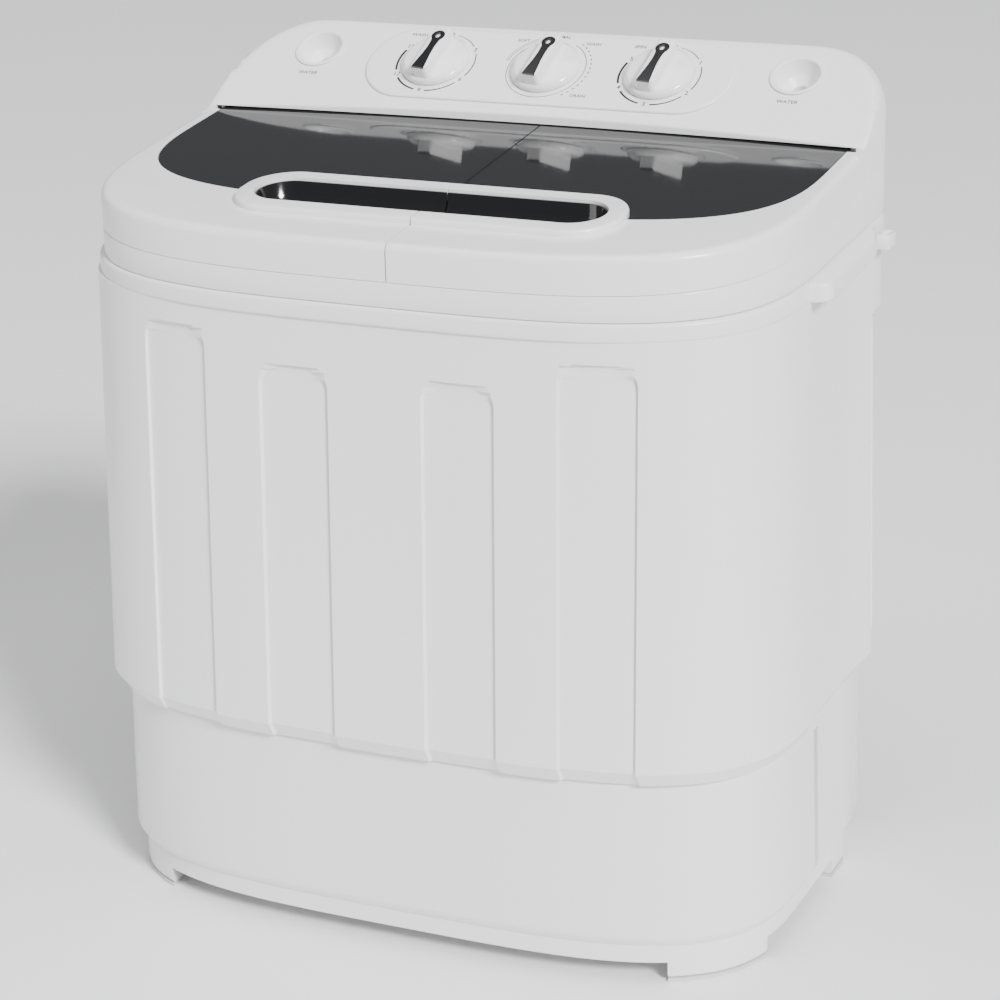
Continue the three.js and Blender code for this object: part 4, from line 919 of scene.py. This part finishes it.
around = np.linspace(0, 2 * np.pi, 32, endpoint=False)
oval = np.column_stack([2.2 * np.cos(around), 13.6 + 3.0 * np.sin(around)]) * MM
for dial, x in DIALS.items():
    place = on_face(x, 0, KNOB_TURN)
    disc = turned("disc", [
        (0, KNOB_BASE), (28.2, KNOB_BASE), (28.5, KNOB_BASE + 0.5), (28.5, KNOB_BASE + 2.4),
        (27.6, KNOB_BASE + 4.2), (24.5, KNOB_BASE + 6.4), (0, KNOB_BASE + 8.4)], radius=1.0, steps=128)
    bar = loft("bar", [at(rounded_box(0, 0, 7.2 - i, 25.5 - i, 3.2 - min(i, 1.5), 8), z * MM) for i, z in (
        (0, KNOB_BASE + 4), (0, KNOB_TOP - 1.3), (0.2, KNOB_TOP - 0.6), (0.7, KNOB_TOP - 0.15),
        (1.4, KNOB_TOP))])
    combine(disc, "UNION", bar)
    socket = turned("socket", rod_profile(3.35, 0, KNOB_BASE + 12), steps=40)
    groove = loft("groove", [at(spoon(0.3, 28), z * MM) for z in (KNOB_TOP - 1.6, KNOB_TOP + 5)])
    combine(disc, "DIFFERENCE", socket, groove)
    disc.name = f"{dial}_knob_grip"
    disc.data.transform(place)
    settle(disc, KNOB_WHITE, dial, [f"{dial}_knob"])
    inlay = loft(f"{dial}_knob_spoon", [at(spoon(-i, 25.2), z * MM) for i, z in (
        (0, KNOB_TOP - 1.3), (0, KNOB_TOP + 0.1), (0.4, KNOB_TOP + 0.4))])
    hole = loft("hole", [at(oval, z * MM) for z in (5, 30)])
    combine(inlay, "DIFFERENCE", hole)
    inlay.data.transform(place)
    settle(inlay, BLACK, dial, [f"{dial}_knob_inlay"])
print("knobs", list(DIALS))

# %% [markdown]
# ## Printed scales
# The print is a very thin solid on the plate: arcs that thicken as the time runs on, ticks, numbers and
# a plain word for each knob. An arc is the strip between two radii, each a function of the angle.

# %% Print
INK_LOW, INK_HIGH = PLATE_TOP - 0.05, PLATE_TOP + 0.06


def ink(outline):
    outline = np.asarray(outline) * MM
    return loft("ink", [at(outline, INK_LOW * MM), at(outline, INK_HIGH * MM)])


def arc(radius, start, end, width_start, width_end=None):
    """Centre line of constant radius; the width runs evenly from one end to the other."""
    width_end = width_start if width_end is None else width_end
    t = np.radians(np.linspace(start, end, max(4, int(abs(end - start) / 4))))
    half = np.linspace(width_start, width_end, len(t)) / 2
    around = np.column_stack([np.cos(t), np.sin(t)])
    return ink(np.vstack([around * (radius + half)[:, None], (around * (radius - half)[:, None])[::-1]]))


def words(text, x, y, size):
    curve = bpy.data.curves.new("words", "FONT")
    curve.body = text
    curve.size = size * MM
    curve.align_x, curve.align_y = "CENTER", "CENTER"
    curve.extrude = 0.00005
    curve.offset = 0.00006 * size / 5
    curve.resolution_u = 4
    source = bpy.data.objects.new("words", curve)
    bpy.context.scene.collection.objects.link(source)
    mesh = bpy.data.meshes.new_from_object(source.evaluated_get(bpy.context.evaluated_depsgraph_get()))
    bpy.data.objects.remove(source)
    obj = bpy.data.objects.new("words", mesh)
    bpy.context.scene.collection.objects.link(obj)
    obj.data.transform(Matrix.Translation((x * MM, y * MM, PLATE_TOP * MM)))
    return tidy_mesh(obj)


def timer_scale(marks, ring_radius, label, label_at):
    """Numbers at their angles with arcs between them that grow thicker with time."""
    shapes = [words(label, *label_at, 5.0)]
    angles = [angle for _, angle in marks]
    for index, (text, angle) in enumerate(marks):
        t = math.radians(angle)
        shapes.append(words(text, ring_radius * math.cos(t), ring_radius * math.sin(t), 6.2))
        if index + 1 < len(marks):
            thin, thick = (0.5 + 1.7 * k / (len(marks) - 1) for k in (index, index + 1))
            shapes.append(arc(ring_radius, angle - 8.5, angles[index + 1] + 8.5, thin, thick))
    return shapes


wash_marks = [("0", 85), ("3", 30), ("6", -33), ("9", -95), ("12", -151), ("15", -210)]
spin_marks = [("0", 85), ("1", 30), ("2", -33), ("3", -95), ("4", -151), ("5", -210)]
select = [arc(33, 60, -250, 0.6), arc(36, 170, 118, 0.5), arc(38, 170, 118, 0.5)]
select += [arc(37, a, a - 3.5, 0.9) for a in range(55, -50, -8)]
select += [words(t, *where, 4.4) for t, where in (
    ("SOFT", (-30, 31)), ("WASH", (31, 31)), ("DRAIN", (37, -29)), ("NORMAL", (0, 37.4)))]
prints = {
    "wash_scale": (-97, timer_scale(wash_marks, 33.5, "WASH", (-26, 31))),
    "selector_scale": (0, select),
    "spin_scale": (97, timer_scale(spin_marks, 33.5, "SPIN", (-26, 31))),
}
for name, (x, shapes) in prints.items():
    scale = merge(name, shapes)
    scale.data.transform(on_face(x))
    settle(scale, INK)
for name, x in INLETS.items():
    word = merge(f"water_word_{name}", [words("WATER", 0, 0, 5.0)])
    word.data.transform(Matrix.Translation((0, 0, -PLATE_TOP * MM)))
    word.data.transform(on_face(x, -19))
    settle(word, INK)

# %% [markdown]
# ## Rear cover and fittings
# The rear of the base is closed by a screwed cover with louvres. The cord leaves through a ribbed gland
# and the waste water through a stub with two collars. A hook for the drain hose sits on the rim.

# %% Rear fittings
cover = loft("rear_cover_plate", [at(rounded_box(0, 85.5, 264 - i, 77.5 - i, 14, 12), y * MM) for i, y in (
    (0, 0), (0, 8.0), (0.3, 8.7), (1.05, 9.05))])
STAND_UP = Matrix(((1, 0, 0, 0), (0, 0, 1, 0), (0, 1, 0, 0), (0, 0, 0, 1)))
cover.data.transform(Matrix.Translation((0, 149.95 * MM, 0)) @ STAND_UP)
tidy_mesh(cover)
combine(cover, "DIFFERENCE",
        turned("gland_hole", rod_profile(9.35, 140, 170), (190, 112), axis="Y"),
        turned("drain_hole", rod_profile(13, 140, 170), (-196, 47), axis="Y"),
        *[block("louvre", (-90 + 24 * i, 140, 92), (-82 + 24 * i, 170, 146)) for i in range(8)])
settle(cover, SATIN, nodes=["rear_cover"])
SCREWS = ((-245, 28), (0, 20), (245, 28), (-245, 145), (245, 145), (-120, 150), (120, 150))
for index, (x, z) in enumerate(SCREWS):
    screw = turned(f"cover_screw_{index}", [(0, 157), (4.2, 157), (4.2, 158.9), (3.2, 160), (0, 160.4)],
                   (x, z), radius=0.5, steps=40, axis="Y")
    arms = ((2.4, 0.45), (0.45, 2.4))
    cross = [block("cross", (x - a, 159.6, z - b), (x + a, 162, z + b)) for a, b in arms]
    combine(screw, "DIFFERENCE", *cross)
    settle(screw, STEEL)

gland = turned("cord_gland_body", [(3.8, 147), (9, 147), (9, 159.35), (12, 159.35), (12, 162), (8, 162),
                                   (8, 161), (3.8, 161)], (190, 112), radius=0.5, axis="Y")
outlet = turned("drain_outlet_pipe", [
    (9.5, 124), (12, 124), (12, 126), (15, 126), (15, 138), (12, 138), (12, 174), (13.5, 174), (13.5, 178),
    (12, 178), (12, 182), (9.5, 182)], (-196, 47), radius=0.6, axis="Y")
settle(gland, RUBBER, nodes=["cord_gland"])
settle(outlet, GREY, nodes=["drain_outlet"])
hook = block("hose_hook_clip", (285.85, 110, 508), (296.5, 130, 519))
combine(hook, "DIFFERENCE", block("gap", (288, 112.5, 510), (294, 127.5, 530)))
settle(soften(hook, 0.6), WHITE, nodes=["hose_hook"])
print("cover faces", len(cover.data.polygons))

# %% [markdown]
# ## Pulsator, basket and drive
# The pulsator is a turned disc with four smooth fins; the basket a drum with rows of holes. The motors,
# pulleys and housings, hardly ever seen, keep their CAD shape and only get a finish.

# %% Drive
pulsator = turned("pulsator_disc", [
    (0, 205), (84, 205), (86, 208), (84, 212), (60, 215.5), (30, 222), (14, 232), (0, 234),
], (-126, -28), radius=2.5, steps=128)
fins = []
for k in range(4):
    fin = loft("fin", [at(rounded_box(44, 0, 32 - i, 7 - j, min(6, 6.5 - j), 6), z * MM) for i, j, z in (
        (0, 0, 212), (0.5, 0.8, 224), (2, 2, 229), (4, 3.4, 231.3), (7, 5, 232))])
    fin.data.transform(Matrix.Translation((-0.126, -0.028, 0)) @ Matrix.Rotation(k * math.pi / 2, 4, "Z"))
    fins.append(fin)
combine(pulsator, "UNION", *fins)
combine(pulsator, "DIFFERENCE",
        turned("socket", rod_profile(6.85, 200, 219), (-126, -28)),
        turned("screw", [
            (0, 215), (2.6, 215), (2.6, 229.5), (5.6, 229.5), (5.6, 240), (0, 240)], (-126, -28)))
settle(pulsator, BLUE, "agitator", ["pulsator"])

basket = turned("spin_basket_drum", [
    (0, 212), (90, 212), (90, 480), (95, 480), (95, 488), (86.8, 488), (86.8, 215), (0, 215)],
    (146, -28), radius=1.2, steps=144)
holes = [turned("bore", rod_profile(5.4, 200, 230), (146, -28))]
for row in range(7):
    for k in range(12):
        hole = turned("hole", rod_profile(2.6, 80, 96), steps=12)
        turn = math.radians(30 * k + 15 * (row % 2))
        hole.data.transform(Matrix.Translation((0.146, -0.028, (245 + 34 * row) * MM))
                            @ Matrix.Rotation(turn, 4, "Z") @ Matrix.Rotation(math.pi / 2, 4, "Y"))
        holes.append(hole)
combine(basket, "DIFFERENCE", merge("holes", holes))
settle(basket, STEEL, "basket", ["spin_basket"])

HIDDEN = {
    STEEL: ("pulsator_shaft", "pulsator_screw", "spin_shaft", "spin_motor_plate", "wash_timer_shaft",
            "selector_shaft", "spin_timer_shaft", "spin_spring_1", "spin_spring_2", "spin_spring_3"),
    CAN: ("wash_motor", "spin_motor"),
    CREAM: ("wash_timer_unit", "drain_selector_unit", "spin_timer_unit", "capacitor"),
    DARK: ("pulsator_pulley", "wash_motor_pulley", "brake_drum"),
    RUBBER: ("drive_belt", "spin_bellows"),
    GREY: ("wash_bearing_housing",),
}
for material, names in HIDDEN.items():
    for name in names:
        paint(name, material)
print("basket faces", len(basket.data.polygons))

# %% [markdown]
# ## Floor and light
# A wide pale floor, a large lamp overhead, a weak one from the left, and broad daylight from the right
# that grazes the front, so the pressed strips draw their own edges. The surroundings stay dark grey, so
# that the smoked panes keep their depth.

# %% Studio
bpy.ops.mesh.primitive_plane_add(size=60, location=(0, 0, 0))
floor = bpy.context.object
floor.name = "floor"
floor.data.materials.append(finish("pale_floor", (0.95, 0.95, 0.95), 0.6, relief=0.0, drift=0.01))

world = bpy.data.worlds.new("surroundings")
world.use_nodes = True
world.node_tree.nodes["Background"].inputs["Color"].default_value = (0.16, 0.165, 0.17, 1)
world.node_tree.nodes["Background"].inputs["Strength"].default_value = 1.0
bpy.context.scene.world = world

for name, place, size, power in (
    ("overhead", (0.0, -0.5, 3.2), 2.6, 75),
    ("left_front", (-2.8, -2.4, 1.6), 1.8, 22),
):
    lamp = bpy.data.objects.new(name, bpy.data.lights.new(name, "AREA"))
    lamp.data.size = size
    lamp.data.energy = power
    lamp.location = place
    lamp.rotation_euler = (Vector((0, 0, 0.35)) - Vector(place)).to_track_quat("-Z", "Y").to_euler()
    bpy.context.scene.collection.objects.link(lamp)
sun = bpy.data.objects.new("daylight", bpy.data.lights.new("daylight", "SUN"))
sun.data.energy = 5.6
sun.data.angle = math.radians(14)
sun.rotation_euler = Vector((-1.5, 1.15, -1.25)).to_track_quat("-Z", "Y").to_euler()
bpy.context.scene.collection.objects.link(sun)
